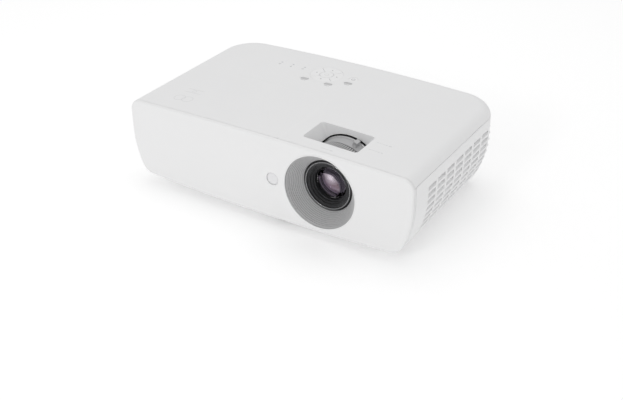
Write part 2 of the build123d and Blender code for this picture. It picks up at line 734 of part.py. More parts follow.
def make_engine():
    x0, x1, y0, y1 = ENGINE_AREA
    wall = ENGINE_WALL
    housing = block(x0, x1, y0, y1, ENGINE_BOTTOM, ENGINE_TOP)
    arm_x = WHEEL_X + 12
    housing = housing + framed((arm_x + x0) / 2, LIGHT_Y, LIGHT_Z, (x0 - arm_x) / 2, 11, 11)
    housing = housing + block(arm_x, arm_x + 2, LIGHT_Y - 11, LIGHT_Y + 11, LIGHT_Z, WHEEL_Z + 11)
    low = ENGINE_BOTTOM + wall
    high = ENGINE_TOP - wall
    housing = housing - block(x0 + wall, x1 - wall, y0 + wall, y1 - wall, low, high)
    duct = block(arm_x + 2, x0 + wall, LIGHT_Y - 9, LIGHT_Y + 9, LIGHT_Z - 9, LIGHT_Z + 9)
    cradle_x = (arm_x + 6, arm_x + 38)
    for x in cradle_x:
        duct = duct - framed(x, LIGHT_Y, LIGHT_Z - 6.75, 1, 9, 2.25)
    lens_wall = framed(RELAY_X, LIGHT_Y, LIGHT_Z, 1.5, 9, 9)
    duct = duct - (lens_wall - rod(RELAY_X - 2, LIGHT_Y, LIGHT_Z, RELAY_R, 4, "x"))
    housing = housing - duct
    housing = housing - rod(arm_x - 1, LIGHT_Y, LIGHT_Z, 5, 4, "x")
    housing = housing - rod(LENS_X, y0 - 1, LENS_Z, SPIGOT_R, wall + 2, "y")
    housing = housing - framed(LENS_X, y1, DMD_Z, 12, wall + 1, 10.5)
    housing = housing - [rod(x, y0 - 1, z, SCREW_R, wall + 2, "y") for x, z in flange_screw_spots()]
    for y in (LIGHT_Y, MIRROR_Y):
        housing = housing + rod(MIRROR_X, y, ENGINE_BOTTOM, 3, LIGHT_Z - 9 - ENGINE_BOTTOM)
    housing = housing + rod(LENS_X, 1, ENGINE_BOTTOM, 4, DMD_Z - 12 - ENGINE_BOTTOM)
    save("engine_housing", housing)

    mirrors = []
    for y in (LIGHT_Y, MIRROR_Y):
        mirrors.append(Pos(MIRROR_X, y, LIGHT_Z) * Rot(0, 0, 45) * Box(16, 2, 18))
    save("fold_mirrors", Compound(children=mirrors))
    save("beam_prism", framed(LENS_X, 1, DMD_Z, 11, 8, 12))
    rods = framed(arm_x + 22, LIGHT_Y, LIGHT_Z, 19, 4.5, 4.5)
    save("light_tunnel", rods - framed(arm_x + 22, LIGHT_Y, LIGHT_Z, 20, 3.5, 3.5))
    glass = Pos(-LENS_X, 0, -LENS_Z) * lens_glass(RELAY_R, -1.5, 3, 1, 1)
    save("relay_lens", Pos(RELAY_X, LIGHT_Y, LIGHT_Z) * Rot(0, 0, -90) * glass)

    motor = rod(arm_x - 8, LIGHT_Y, WHEEL_Z, 9, 8, "x") - rod(arm_x - 9, LIGHT_Y, WHEEL_Z, 1.6, 7, "x")
    save("colour_wheel_motor", motor)
    wheel = rod(WHEEL_X, LIGHT_Y, WHEEL_Z, WHEEL_R, 1, "x")
    wheel = wheel + rod(WHEEL_X - 2, LIGHT_Y, WHEEL_Z, 8, 4.5, "x")
    save("colour_wheel", wheel + rod(WHEEL_X, LIGHT_Y, WHEEL_Z, 1.5, 8, "x"))

    board = framed(LENS_X, y1 + BOARD_T / 2, DMD_Z, 32, BOARD_T / 2, 27)
    save("chip_board", board)
    save("imaging_chip", framed(LENS_X, y1 - 2.5, DMD_Z, 11.5, 2.5, 10))
    base_y = y1 + BOARD_T
    sink = block(LENS_X - 24, LENS_X + 24, base_y, base_y + 3, DMD_Z - 22, DMD_Z + 22)
    for i in range(SINK_FINS):
        x = LENS_X - 23.4 + i * 46.8 / (SINK_FINS - 1)
        sink = sink + block(x - 0.6, x + 0.6, base_y + 2, base_y + 20, DMD_Z - 22, DMD_Z + 22)
    save("chip_heatsink", sink)


def make_lamp():
    x0, x1, y0, y1 = LAMP_AREA
    top = SHELF_Z + 60
    box = block(x0, x1, y0, y1, SHELF_Z, top)
    box = box - block(x0 + 1.5, x1 - 1.5, y0 + 1.5, y1 - 1.5, SHELF_Z + 1.5, top - 1.5)
    box = box - rod(x1 - 3, LIGHT_Y, LIGHT_Z, 21, 5, "x")
    for i in range(5):
        box = box - block(x0 - 1, x0 + 3, y0 + 8, y1 - 8, SHELF_Z + 10 + i * 9, SHELF_Z + 14 + i * 9)
    middle = (x0 + x1) / 2
    bail = block(middle - 14, middle + 14, LIGHT_Y - 2, LIGHT_Y + 2, top, top + 9)
    bail = bail - block(middle - 11, middle + 11, LIGHT_Y - 3, LIGHT_Y + 3, top - 1, top + 6)
    save("lamp_housing", box + bail)
    mouth = x1 - 1.5
    outline = [
        (mouth, 24), (mouth - 12, 22), (mouth - 24, 17.5),
        (mouth - 34, 10), (mouth - 36, 6), (mouth - 48, 6),
        (mouth - 48, 4), (mouth - 35, 4), (mouth - 32, 9),
        (mouth - 22.5, 16), (mouth - 11, 20), (mouth, 22),
    ]
    face = make_face(Polyline(*[(x, LIGHT_Y, LIGHT_Z + r) for x, r in outline], close=True))
    save("lamp_reflector", revolve(face, Axis((0, LIGHT_Y, LIGHT_Z), (1, 0, 0)), 360))
    angles = [math.radians(a) for a in range(30, 151, 15)]
    bulb = [(mouth - 22 - BULB_R * math.cos(a), BULB_R * math.sin(a)) for a in angles]
    outline = [(mouth - 48, 0), (mouth - 48, 4), (mouth - 34, 4), (mouth - 34, BULB_R / 2)]
    outline += bulb + [(mouth - 2, BULB_R / 2), (mouth - 2, 0)]
    face = make_face(Polyline(*[(x, LIGHT_Y, LIGHT_Z + r) for x, r in outline], close=True))
    save("lamp_burner", revolve(face, Axis((0, LIGHT_Y, LIGHT_Z), (1, 0, 0)), 360))


def fan(x, y):
    """Axial fan facing along X: its frame and its rotor."""
    z = FAN_Z + FAN_SIZE / 2
    bore = FAN_SIZE / 2 - 2
    half = FAN_SIZE / 2
    frame = block(x, x + FAN_T, y - half, y + half, z - half, z + half) - rod(x, y, z, bore, FAN_T, "x")
    frame = frame + rod(x, y, z, 12, 2, "x") + rod(x, y, z, 2, FAN_T - 3, "x")
    frame = frame + block(x, x + 2, y - bore - 1, y + bore + 1, z - 1.5, z + 1.5)
    frame = frame + block(x, x + 2, y - 1.5, y + 1.5, z - bore - 1, z + bore + 1)
    tip = bore - FAN_SPIN_GAP
    rotor = rod(x + 3, y, z, 13, FAN_T - 5, "x")
    blade_length = tip - 12
    for i in range(BLADES):
        blade = Rot(0, 0, BLADE_PITCH) * Box(FAN_T - 6, 1.4, blade_length)
        blade = Pos(0, 0, 12 + blade_length / 2) * blade
        rotor = rotor + Pos(x + FAN_T / 2 + 0.5, y, z) * Rot(i * 360 / BLADES, 0, 0) * blade
    rotor = rotor & rod(x + 2.5, y, z, tip, FAN_T - 3.5, "x")
    return frame, rotor - rod(x, y, z, 2.1, FAN_T + 1, "x")


def make_fans():
    for name, spot in (("intake_fan", INTAKE_SPOT), ("exhaust_fan", EXHAUST_SPOT)):
        frame, rotor = fan(*spot)
        save(f"{name}_frame", frame)
        save(f"{name}_rotor", rotor)
    x0, x1, y0, y1 = BLOWER_AREA
    x = (x0 + x1) / 2
    y = (y0 + y1) / 2
    low = SHELF_Z
    housing = block(x0, x1, y0, y1, low, low + 15) - rod(x, y, low + 1.5, 22, 12)
    housing = housing - rod(x, y, low + 5, 15, 20)
    housing = housing - block(x0 - 1, x, y0 + 3, y0 + 16, low + 1.5, low + 13.5)
    save("lamp_blower_housing", housing + rod(x, y, low, 2, 12))
    wheel = rod(x, y, low + 2.2, 20, 1) + rod(x, y, low + 2.2, 8, 9)
    for i in range(18):
        vane = Pos(17.5, 0, low + 7) * Rot(0, 0, 30) * Box(4, 1, 8.5)
        wheel = wheel + Pos(x, y, 0) * Rot(0, 0, i * 20) * vane
    save("lamp_blower_wheel", wheel - rod(x, y, 0, 2.1, 50))


def board_with(area, z, parts):
    x0, x1, y0, y1 = area
    board = block(x0, x1, y0, y1, z, z + BOARD_T)
    for x, y, half_x, half_y, height in parts:
        low = z + BOARD_T / 2
        high = z + BOARD_T + height
        board = board + block(x - half_x, x + half_x, y - half_y, y + half_y, low, high)
    return board


def make_boards():
    chips = [
        (-40, 62, 8, 8, 2), (-10, 60, 12, 12, 9), (30, 60, 9, 9, 2),
        (60, 62, 7, 7, 2), (90, 60, 5, 9, 6),
    ]
    save("main_board", board_with(MAIN_BOARD, MAIN_BOARD_Z, chips))
    blocks = [(-120, 66, 7, 5, 13), (-100, 66, 9, 5, 12), (-80, 68, 7, 8, 13), (-112, 78, 6, 3, 8)]
    save("power_board", board_with(POWER_BOARD, POWER_BOARD_Z, blocks))
    coils = [(-136, 30, 7, 12, 18), (-110, 28, 12, 10, 16), (-82, 30, 8, 12, 20), (-97, 44, 10, 2, 22)]
    save("lamp_ballast", board_with(BALLAST_BOARD, POWER_BOARD_Z, coils))
    domes = [(*POWER_KEY, 2, 2, SWITCH_H)]
    domes += [(x, y, 2, 2, SWITCH_H) for x, y in PILL_KEYS.values()]
    domes += [(x, y, 2, 2, SWITCH_H) for x, y in pad_spots().values()]
    save("keypad_board", board_with(KEY_BOARD, KEY_BOARD_Z, domes))
    x, y, z = SPEAKER_SPOT
    from_base = (Align.CENTER, Align.CENTER, Align.MIN)
    cone = Pos(x + 12, y, z) * Rot(0, 90, 0) * Cone(4, SPEAKER_R - 3, 6, align=from_base)
    speaker = rod(x, y, z, 12, 8, "x") + rod(x + 7, y, z, SPEAKER_R, 11, "x")
    save("speaker", speaker - cone)


def pad_spots():
    reach = (PAD_R + OK_R) / 2
    return {
        "ok": (PAD_X, PAD_Y),
        "up": (PAD_X, PAD_Y + reach),
        "down": (PAD_X, PAD_Y - reach),
        "left": (PAD_X - reach, PAD_Y),
        "right": (PAD_X + reach, PAD_Y),
    }


def make_keys():
    top = HEIGHT - KEY_SINK
    low = top - KEY_T
    stem_end = KEY_BOARD_Z + BOARD_T + SWITCH_H + KEY_TRAVEL + CLEAR

    def stem(x, y):
        return rod(x, y, stem_end, 1.5, low - stem_end + 1)

    save("key_power", rod(*POWER_KEY, low, POWER_KEY_R, KEY_T) + stem(*POWER_KEY))
    for name, spot in PILL_KEYS.items():
        save(f"key_{name}", pill(*spot, low, top) + stem(*spot))
    spots = pad_spots()
    save("key_ok", rod(PAD_X, PAD_Y, low, OK_R, KEY_T) + stem(*spots["ok"]))
    ring = tube(PAD_X, PAD_Y, low, PAD_R, OK_R + KEY_GAP, KEY_T)
    for i, name in enumerate(("right", "up", "left", "down")):
        wedge = make_face(Polyline((0, 0), (40, 40), (40, -40), close=True))
        wedge = Pos(KEY_GAP / math.sqrt(2), 0, low - 1) * extrude(wedge, KEY_T + 2)
        sector = Pos(PAD_X, PAD_Y, 0) * Rot(0, 0, 90 * i) * wedge
        save(f"key_{name}", (ring & sector) + stem(*spots[name]))

    bar_top = roof_z(STATUS_LIGHTS[0][0]) - WALL - 0.1
    xs = [x for x, _ in STATUS_LIGHTS]
    y = STATUS_LIGHTS[0][1]
    bar = block(min(xs) - 4, max(xs) + 4, y - 3, y + 3, bar_top - 2.5, bar_top)
    for x in xs:
        bar = bar + rod(x, y, bar_top - 1, LIGHT_R - 0.1, roof_z(x) - 0.1 - bar_top + 1)
    save("status_lights", bar)


def make_feet():
    front, rear, fixed = foot_spots()
    for name, (x, y) in (("front_foot", front), ("rear_foot", rear)):
        save(f"{name}_stud", rod(x, y, 4, STUD_R, STUD_BOSS_TOP - 8))
        knob = rod(x, y, 0, FOOT_R, KNOB_T) - rod(x, y, 3.7, STUD_R + 0.1, KNOB_T)
        save(f"{name}_knob", knob)
    save("fixed_foot", rod(*fixed, 0, FOOT_R - 2, FLOOR_Z))


os.makedirs("parts", exist_ok=True)
outer = case_form(0)
front_rim = outer.edges().filter_by(lambda e: e.bounding_box().max.Y < Y_FRONT + FRONT_BOW + 0.2)
outer = fillet(front_rim, FRONT_EDGE_R)
inner = case_form(WALL)
shell = outer - inner

make_front_panel()
make_lens_recess_ring()
make_receiver_window()
make_bottom_case()
make_top_cover()
make_lamp_cover()
make_rear_panel()
make_sockets()
make_lens()
make_screws()
make_engine()
make_lamp()
make_fans()
make_boards()
make_keys()
make_feet()
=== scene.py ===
import math
import bpy
import bmesh
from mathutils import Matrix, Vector


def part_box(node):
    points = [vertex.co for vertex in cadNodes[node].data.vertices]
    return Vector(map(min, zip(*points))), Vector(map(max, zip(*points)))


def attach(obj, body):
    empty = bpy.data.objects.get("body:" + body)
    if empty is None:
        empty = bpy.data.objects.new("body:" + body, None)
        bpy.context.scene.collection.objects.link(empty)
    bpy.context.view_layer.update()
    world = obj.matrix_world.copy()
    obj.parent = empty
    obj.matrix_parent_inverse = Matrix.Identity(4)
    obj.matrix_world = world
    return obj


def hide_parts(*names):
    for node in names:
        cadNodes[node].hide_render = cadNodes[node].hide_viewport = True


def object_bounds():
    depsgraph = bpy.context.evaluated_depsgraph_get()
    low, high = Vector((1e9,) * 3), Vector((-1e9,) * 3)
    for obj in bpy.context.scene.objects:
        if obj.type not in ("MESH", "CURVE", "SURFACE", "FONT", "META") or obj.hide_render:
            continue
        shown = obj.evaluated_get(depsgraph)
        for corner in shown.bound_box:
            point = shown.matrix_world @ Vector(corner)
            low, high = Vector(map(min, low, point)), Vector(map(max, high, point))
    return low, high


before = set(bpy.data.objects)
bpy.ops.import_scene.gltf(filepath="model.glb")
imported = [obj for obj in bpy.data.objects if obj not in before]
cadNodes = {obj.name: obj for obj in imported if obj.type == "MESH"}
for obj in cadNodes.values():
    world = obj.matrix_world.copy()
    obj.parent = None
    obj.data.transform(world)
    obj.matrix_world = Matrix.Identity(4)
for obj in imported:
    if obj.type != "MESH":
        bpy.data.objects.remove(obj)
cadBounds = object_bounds()
scene = bpy.context.scene
mm = 0.001
print("projector: frame loaded,", len(cadNodes), "moulded and machined parts")


cameraView = {
    "place": (0.5008, -0.8143, 0.5473),
    "aim": (0.07089, -0.12246, 0.05733),
    "focal": 58.31,
    "sensor": 36.0,
}

studio = {
    "skyStrength": 0.68,
    "keyPlace": (-0.55, -1.7, 1.25),
    "keySize": 1.3,
    "keyPower": 2.0,
    "topPlace": (-0.2, 0.3, 1.6),
    "topSize": 1.4,
    "topPower": 4.9,
    "glintPlace": (0.02, -1.25, 0.72),
    "glintSize": 0.22,
    "glintPower": 1.6,
    "floorSize": 8.0,
    "floorShade": 0.93,
    "floorGlow": 0.20,
}


def makeCamera(values):
    data = bpy.data.cameras.new("bench")
    data.lens = values["focal"]
    data.sensor_width = values["sensor"]
    data.sensor_fit = "HORIZONTAL"
    data.clip_start = 0.01
    camera = bpy.data.objects.new("bench", data)
    scene.collection.objects.link(camera)
    camera.location = values["place"]
    look = Vector(values["aim"]) - Vector(values["place"])
    camera.rotation_euler = look.to_track_quat("-Z", "Y").to_euler()
    scene.camera = camera


def softbox(name, place, size, power, aim=(0.03, -0.03, 0.05)):
    data = bpy.data.lights.new(name, "AREA")
    data.shape = "SQUARE"
    data.size = size
    data.energy = power
    lamp = bpy.data.objects.new(name, data)
    scene.collection.objects.link(lamp)
    lamp.location = place
    look = Vector(aim) - Vector(place)
    lamp.rotation_euler = look.to_track_quat("-Z", "Y").to_euler()


def makeStudio(values):
    scene.view_settings.view_transform = "Standard"
    world = bpy.data.worlds.new("paleRoom")
    world.use_nodes = True
    sky = world.node_tree.nodes["Background"]
    sky.inputs["Color"].default_value = (1, 1, 1, 1)
    sky.inputs["Strength"].default_value = values["skyStrength"]
    scene.world = world
    softbox("keyLight", values["keyPlace"], values["keySize"], values["keyPower"])
    softbox("topLight", values["topPlace"], values["topSize"], values["topPower"])
    lensMiddle = tuple(sum(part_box("lens_trim_ring"), Vector()) / 2)
    softbox("glint", values["glintPlace"], values["glintSize"], values["glintPower"], lensMiddle)
    half = values["floorSize"] / 2
    mesh = bpy.data.meshes.new("floor")
    mesh.from_pydata([(-half, -half, 0), (half, -half, 0), (half, half, 0), (-half, half, 0)],
                     [], [(0, 1, 2, 3)])
    floor = bpy.data.objects.new("floor", mesh)
    scene.collection.objects.link(floor)
    paint = bpy.data.materials.new("paleFloor")
    paint.use_nodes = True
    shader = paint.node_tree.nodes["Principled BSDF"]
    shade = values["floorShade"]
    shader.inputs["Base Color"].default_value = (shade, shade, shade, 1)
    shader.inputs["Roughness"].default_value = 0.9
    shader.inputs["Specular IOR Level"].default_value = 0.0
    shader.inputs["Emission Color"].default_value = (1, 1, 1, 1)
    shader.inputs["Emission Strength"].default_value = values["floorGlow"]
    mesh.materials.append(paint)


makeCamera(cameraView)
makeStudio(studio)
print("projector: camera and studio ready")


def newGroup(name, kind, inputs, outputs):
    tree = bpy.data.node_groups.new(name, kind)
    for label, socket, value in inputs:
        made = tree.interface.new_socket(label, in_out="INPUT", socket_type=socket)
        if value is not None:
            made.default_value = value
    for label, socket in outputs:
        tree.interface.new_socket(label, in_out="OUTPUT", socket_type=socket)
    start = tree.nodes.new("NodeGroupInput")
    end = tree.nodes.new("NodeGroupOutput")
    return tree, start, end


def feed(tree, node, values):
    # a value is a constant for the input of that name, or an output to link to it
    for name, value in values.items():
        if isinstance(value, bpy.types.NodeSocket):
            tree.links.new(value, node.inputs[name])
        else:
            node.inputs[name].default_value = value


def addNode(tree, kind, values=None, **settings):
    node = tree.nodes.new(kind)
    for name, value in settings.items():
        setattr(node, name, value)
    feed(tree, node, values or {})
    return node


def mixColours(tree, factor, first, second):
    return addNode(tree, "ShaderNodeMix", {"Factor": factor, "A": first, "B": second},
                   data_type="RGBA").outputs["Result"]


def mouldedSkinGroup():
    # cloudy colour, uneven gloss and the fine spark texture of a moulded or painted skin
    tree, start, end = newGroup("mouldedSkin", "ShaderNodeTree", [
        ("Place", "NodeSocketVector", None),
        ("Colour", "NodeSocketColor", (0.8, 0.8, 0.8, 1)),
        ("Shade", "NodeSocketColor", (0.7, 0.7, 0.7, 1)),
        ("Cloud Scale", "NodeSocketFloat", 40.0),
        ("Grain Scale", "NodeSocketFloat", 1500.0),
        ("Gloss Low", "NodeSocketFloat", 0.4),
        ("Gloss High", "NodeSocketFloat", 0.5),
    ], [("Colour", "NodeSocketColor"), ("Roughness", "NodeSocketFloat"),
        ("Height", "NodeSocketFloat")])
    given = start.outputs
    cloud = addNode(tree, "ShaderNodeTexNoise", {
        "Vector": given["Place"], "Scale": given["Cloud Scale"], "Detail": 3})
    grain = addNode(tree, "ShaderNodeTexNoise", {
        "Vector": given["Place"], "Scale": given["Grain Scale"], "Detail": 2})
    gloss = addNode(tree, "ShaderNodeMapRange", {
        "Value": grain.outputs["Fac"], "To Min": given["Gloss Low"],
        "To Max": given["Gloss High"]})
    feed(tree, end, {
        "Colour": mixColours(tree, cloud.outputs["Fac"], given["Colour"], given["Shade"]),
        "Roughness": gloss.outputs["Result"], "Height": grain.outputs["Fac"]})
    return tree


def settledDustGroup():
    # a thin dust on what faces up, broken by a coarse noise
    tree, start, end = newGroup("settledDust", "ShaderNodeTree", [
        ("Place", "NodeSocketVector", None),
        ("Colour", "NodeSocketColor", (0.5, 0.5, 0.5, 1)),
        ("Dust", "NodeSocketColor", (0.5, 0.49, 0.47, 1)),
        ("Amount", "NodeSocketFloat", 0.1),
    ], [("Colour", "NodeSocketColor")])
    given = start.outputs
    surface = addNode(tree, "ShaderNodeNewGeometry")
    split = addNode(tree, "ShaderNodeSeparateXYZ", {"Vector": surface.outputs["Normal"]})
    up = addNode(tree, "ShaderNodeMapRange", {"Value": split.outputs["Z"], "From Min": 0.4})
    patch = addNode(tree, "ShaderNodeTexNoise", {
        "Vector": given["Place"], "Scale": 90, "Detail": 4})
    spread = addNode(tree, "ShaderNodeMath", {
        0: patch.outputs["Fac"], 1: up.outputs["Result"]}, operation="MULTIPLY")
    weight = addNode(tree, "ShaderNodeMath", {
        0: spread.outputs["Value"], 1: given["Amount"]}, operation="MULTIPLY")
    feed(tree, end, {"Colour": mixColours(tree, weight.outputs["Value"], given["Colour"],
                                          given["Dust"])})
    return tree


skinGroup = mouldedSkinGroup()
dustGroup = settledDustGroup()

# colour, shade, cloud and grain scale, roughness range, bump, then the shader's own values
jackSkin = dict(cloud=150, grain=2200, gloss=(0.34, 0.46), bump=0.05)
finishValues = {
    "shellWhite": dict(colour=(0.855, 0.855, 0.858), shade=(0.835, 0.835, 0.839), cloud=22,
                       grain=1900, gloss=(0.40, 0.50), bump=0.10),
    "faceWhite": dict(colour=(0.845, 0.845, 0.847), shade=(0.83, 0.83, 0.832), cloud=18, grain=2300,
                      gloss=(0.26, 0.33), bump=0.05),
    "keyWhite": dict(colour=(0.88, 0.88, 0.883), shade=(0.855, 0.855, 0.858), cloud=60, grain=2400,
                     gloss=(0.34, 0.42), bump=0.06),
    "pillGrey": dict(colour=(0.58, 0.58, 0.585), shade=(0.53, 0.53, 0.535), cloud=80, grain=2400,
                     gloss=(0.38, 0.46), bump=0.06),
    "ventShade": dict(colour=(0.84, 0.84, 0.845), shade=(0.80, 0.80, 0.805), cloud=30, grain=1700,
                      gloss=(0.50, 0.60), bump=0.10),
    "coneGrey": dict(colour=(0.47, 0.47, 0.475), shade=(0.43, 0.43, 0.435), cloud=35, grain=1600,
                     gloss=(0.36, 0.48), bump=0.10),
    "ringSilver": dict(colour=(0.52, 0.52, 0.525), shade=(0.46, 0.46, 0.465), cloud=45, grain=2600,
                       gloss=(0.28, 0.36), bump=0.05, metallic=0.35),
    "knurlSilver": dict(colour=(0.66, 0.66, 0.665), shade=(0.58, 0.58, 0.585), cloud=70, grain=2200,
                        gloss=(0.34, 0.46), bump=0.10, metallic=0.1),
    # near-black focus ring under the light ribs: painted shade standing in for the shaded valleys
    # between the knurl's teeth
    "knurlValleyShade": dict(colour=(0.13, 0.13, 0.132), shade=(0.10, 0.10, 0.102), cloud=70, grain=2200,
                        gloss=(0.40, 0.52), bump=0.10),
    # lighter than the white plastic of the covers: a painted highlight along the seam lip and the
    # recess rim
    "paintedHighlightWhite": dict(colour=(0.96, 0.96, 0.962), shade=(0.94, 0.94, 0.942), cloud=40, grain=2300,
                     gloss=(0.24, 0.30), bump=0.04),
    "barrelBlack": dict(colour=(0.016, 0.016, 0.018), shade=(0.026, 0.026, 0.028), cloud=60,
                        grain=2000, gloss=(0.26, 0.38), bump=0.08),
    "baffleBlack": dict(colour=(0.030, 0.030, 0.033), shade=(0.050, 0.050, 0.054), cloud=80,
                        grain=2000, gloss=(0.16, 0.26), bump=0.05),
    "brightTrim": dict(colour=(0.86, 0.86, 0.88), shade=(0.78, 0.78, 0.80), cloud=90, grain=3000,
                       gloss=(0.05, 0.12), bump=0.02, metallic=1.0),
    "windowGrey": dict(colour=(0.80, 0.80, 0.81), shade=(0.74, 0.74, 0.75), cloud=50, grain=2600,
                       gloss=(0.12, 0.18), bump=0.02, coat=0.4),
    "pipeClear": dict(colour=(0.66, 0.68, 0.70), shade=(0.58, 0.60, 0.62), cloud=90, grain=2600,
                      gloss=(0.14, 0.22), bump=0.02, coat=0.3),
    "castAlloy": dict(colour=(0.42, 0.43, 0.44), shade=(0.33, 0.34, 0.35), cloud=55, grain=900,
                      gloss=(0.42, 0.62), bump=0.30, metallic=0.85, dust=0.25),
    "mirrorSilver": dict(colour=(0.88, 0.88, 0.87), shade=(0.80, 0.80, 0.80), cloud=30, grain=2500,
                         gloss=(0.03, 0.08), bump=0.01, metallic=1.0),
    "chipCeramic": dict(colour=(0.055, 0.055, 0.06), shade=(0.085, 0.085, 0.09), cloud=90,
                        grain=1800, gloss=(0.30, 0.42), bump=0.10, dust=0.2),
    "innerBlack": dict(colour=(0.028, 0.028, 0.030), shade=(0.045, 0.045, 0.048), cloud=50,
                       grain=1500, gloss=(0.42, 0.58), bump=0.15, dust=0.25),
    "portBlack": dict(colour=(0.022, 0.022, 0.024), shade=(0.034, 0.034, 0.036), cloud=70,
                      grain=1700, gloss=(0.34, 0.46), bump=0.10),
    "platedSteel": dict(colour=(0.60, 0.60, 0.61), shade=(0.47, 0.47, 0.48), cloud=120, grain=2200,
                        gloss=(0.20, 0.36), bump=0.06, metallic=1.0),
    "turnedBrass": dict(colour=(0.72, 0.54, 0.25), shade=(0.58, 0.42, 0.18), cloud=120, grain=2200,
                        gloss=(0.22, 0.36), bump=0.06, metallic=1.0),
    "footGrey": dict(colour=(0.30, 0.30, 0.305), shade=(0.24, 0.24, 0.245), cloud=80, grain=1500,
                     gloss=(0.44, 0.56), bump=0.15, dust=0.15),
    "padRubber": dict(colour=(0.045, 0.045, 0.045), shade=(0.070, 0.070, 0.070), cloud=110,
                      grain=1300, gloss=(0.62, 0.80), bump=0.30, dust=0.2),
    "printGrey": dict(colour=(0.40, 0.40, 0.405), shade=(0.46, 0.46, 0.465), cloud=200, grain=2600,
                      gloss=(0.42, 0.54), bump=0.03),
    "printPale": dict(colour=(0.69, 0.69, 0.695), shade=(0.72, 0.72, 0.725), cloud=200, grain=2600,
                      gloss=(0.38, 0.48), bump=0.03),
    "jackYellow": dict(colour=(0.72, 0.52, 0.05), shade=(0.62, 0.44, 0.04), **jackSkin),
    "jackWhite": dict(colour=(0.78, 0.78, 0.77), shade=(0.70, 0.70, 0.69), **jackSkin),
    "jackRed": dict(colour=(0.52, 0.03, 0.03), shade=(0.42, 0.02, 0.02), **jackSkin),
    "jackGreen": dict(colour=(0.04, 0.30, 0.10), shade=(0.03, 0.24, 0.08), **jackSkin),
    "jackBlue": dict(colour=(0.03, 0.10, 0.42), shade=(0.02, 0.08, 0.34), **jackSkin),
}


def startMaterial(name):
    material = bpy.data.materials.new(name)
    material.use_nodes = True
    tree = material.node_tree
    place = addNode(tree, "ShaderNodeTexCoord").outputs["Object"]
    return material, tree, tree.nodes["Principled BSDF"], place


def skinNode(tree, place, values):
    return addNode(tree, "ShaderNodeGroup", {
        "Place": place, "Colour": (*values["colour"], 1), "Shade": (*values["shade"], 1),
        "Cloud Scale": values["cloud"], "Grain Scale": values["grain"],
        "Gloss Low": values["gloss"][0], "Gloss High": values["gloss"][1]},
        node_tree=skinGroup)


def addBump(tree, height, shader, strength):
    bump = addNode(tree, "ShaderNodeBump", {
        "Strength": strength, "Distance": 0.0002, "Height": height})
    feed(tree, shader, {"Normal": bump.outputs["Normal"]})


def unevenGloss(tree, place, shader, scale, low, high):
    # a roughness that wanders between two values; gives back the noise behind it
    noise = addNode(tree, "ShaderNodeTexNoise", {"Vector": place, "Scale": scale}).outputs["Fac"]
    level = addNode(tree, "ShaderNodeMapRange", {"Value": noise, "To Min": low, "To Max": high})
    feed(tree, shader, {"Roughness": level.outputs["Result"]})
    return noise


def makeFinish(name, values):
    material, tree, shader, place = startMaterial(name)
    skin = skinNode(tree, place, values)
    colour = skin.outputs["Colour"]
    if values.get("dust"):
        colour = addNode(tree, "ShaderNodeGroup", {
            "Amount": values["dust"], "Place": place, "Colour": colour},
            node_tree=dustGroup).outputs["Colour"]
    feed(tree, shader, {
        "Base Color": colour, "Roughness": skin.outputs["Roughness"],
        "Metallic": values.get("metallic", 0.0), "Coat Weight": values.get("coat", 0.0),
        "Coat Roughness": 0.05})
    addBump(tree, skin.outputs["Height"], shader, values["bump"])
    return material


def ramp(tree, factor, stops, constant=False):
    node = addNode(tree, "ShaderNodeValToRGB", {"Fac": factor})
    band = node.color_ramp
    band.interpolation = "CONSTANT" if constant else "LINEAR"
    while len(band.elements) < len(stops):
        band.elements.new(0.5)
    for element, (at, colour) in zip(band.elements, stops):
        element.position = at
        element.color = (*colour, 1)
    return node.outputs["Color"]


glassValues = {
    "tint": (0.95, 0.91, 0.96),
    "flare": (0.86, 0.74, 0.98),
    "smear": (0.005, 0.03),
    "smearScale": 60,
    "index": 1.52,
}


def makeGlass(name, values, tint):
    # clear glass whose reflections carry the faint violet of an anti-reflection coating
    material, tree, shader, place = startMaterial(name)
    smear = unevenGloss(tree, place, shader, values["smearScale"], *values["smear"])
    feed(tree, shader, {
        "Base Color": ramp(tree, smear, [(0.3, tint), (0.7, tuple(c * 0.96 for c in tint))]),
        "Transmission Weight": 1.0, "IOR": values["index"],
        "Specular Tint": (*values["flare"], 1)})
    return material


coatingAndHighlightValues = {
    "radius": 0.0165,
    "stops": [(0.0, (0.10, 0.045, 0.060)), (0.30, (0.20, 0.085, 0.105)), (0.50, (0.42, 0.30, 0.36)),
              (0.60, (0.16, 0.10, 0.14)), (0.68, (0.40, 0.33, 0.42)), (0.76, (0.13, 0.10, 0.15)),
              (0.86, (0.34, 0.30, 0.38)), (0.93, (0.12, 0.10, 0.13)), (1.0, (0.20, 0.18, 0.22))],
    # the painted highlight: where its pale patch sits off the axis, how far it reaches and its
    # colour
    "highlightOffset": (-4.2, 1.6),
    "highlightReach": 0.0090,
    "paintedHighlight": (0.95, 0.91, 0.94),
}


def reachFrom(tree, place, x, z):
    # how far a point lies from a line along Y
    shift = addNode(tree, "ShaderNodeMapping", {
        "Vector": place, "Location": (-x, 0, -z), "Scale": (1, 0, 1)})
    return addNode(tree, "ShaderNodeVectorMath", {0: shift.outputs["Vector"]},
                   operation="LENGTH").outputs["Value"]


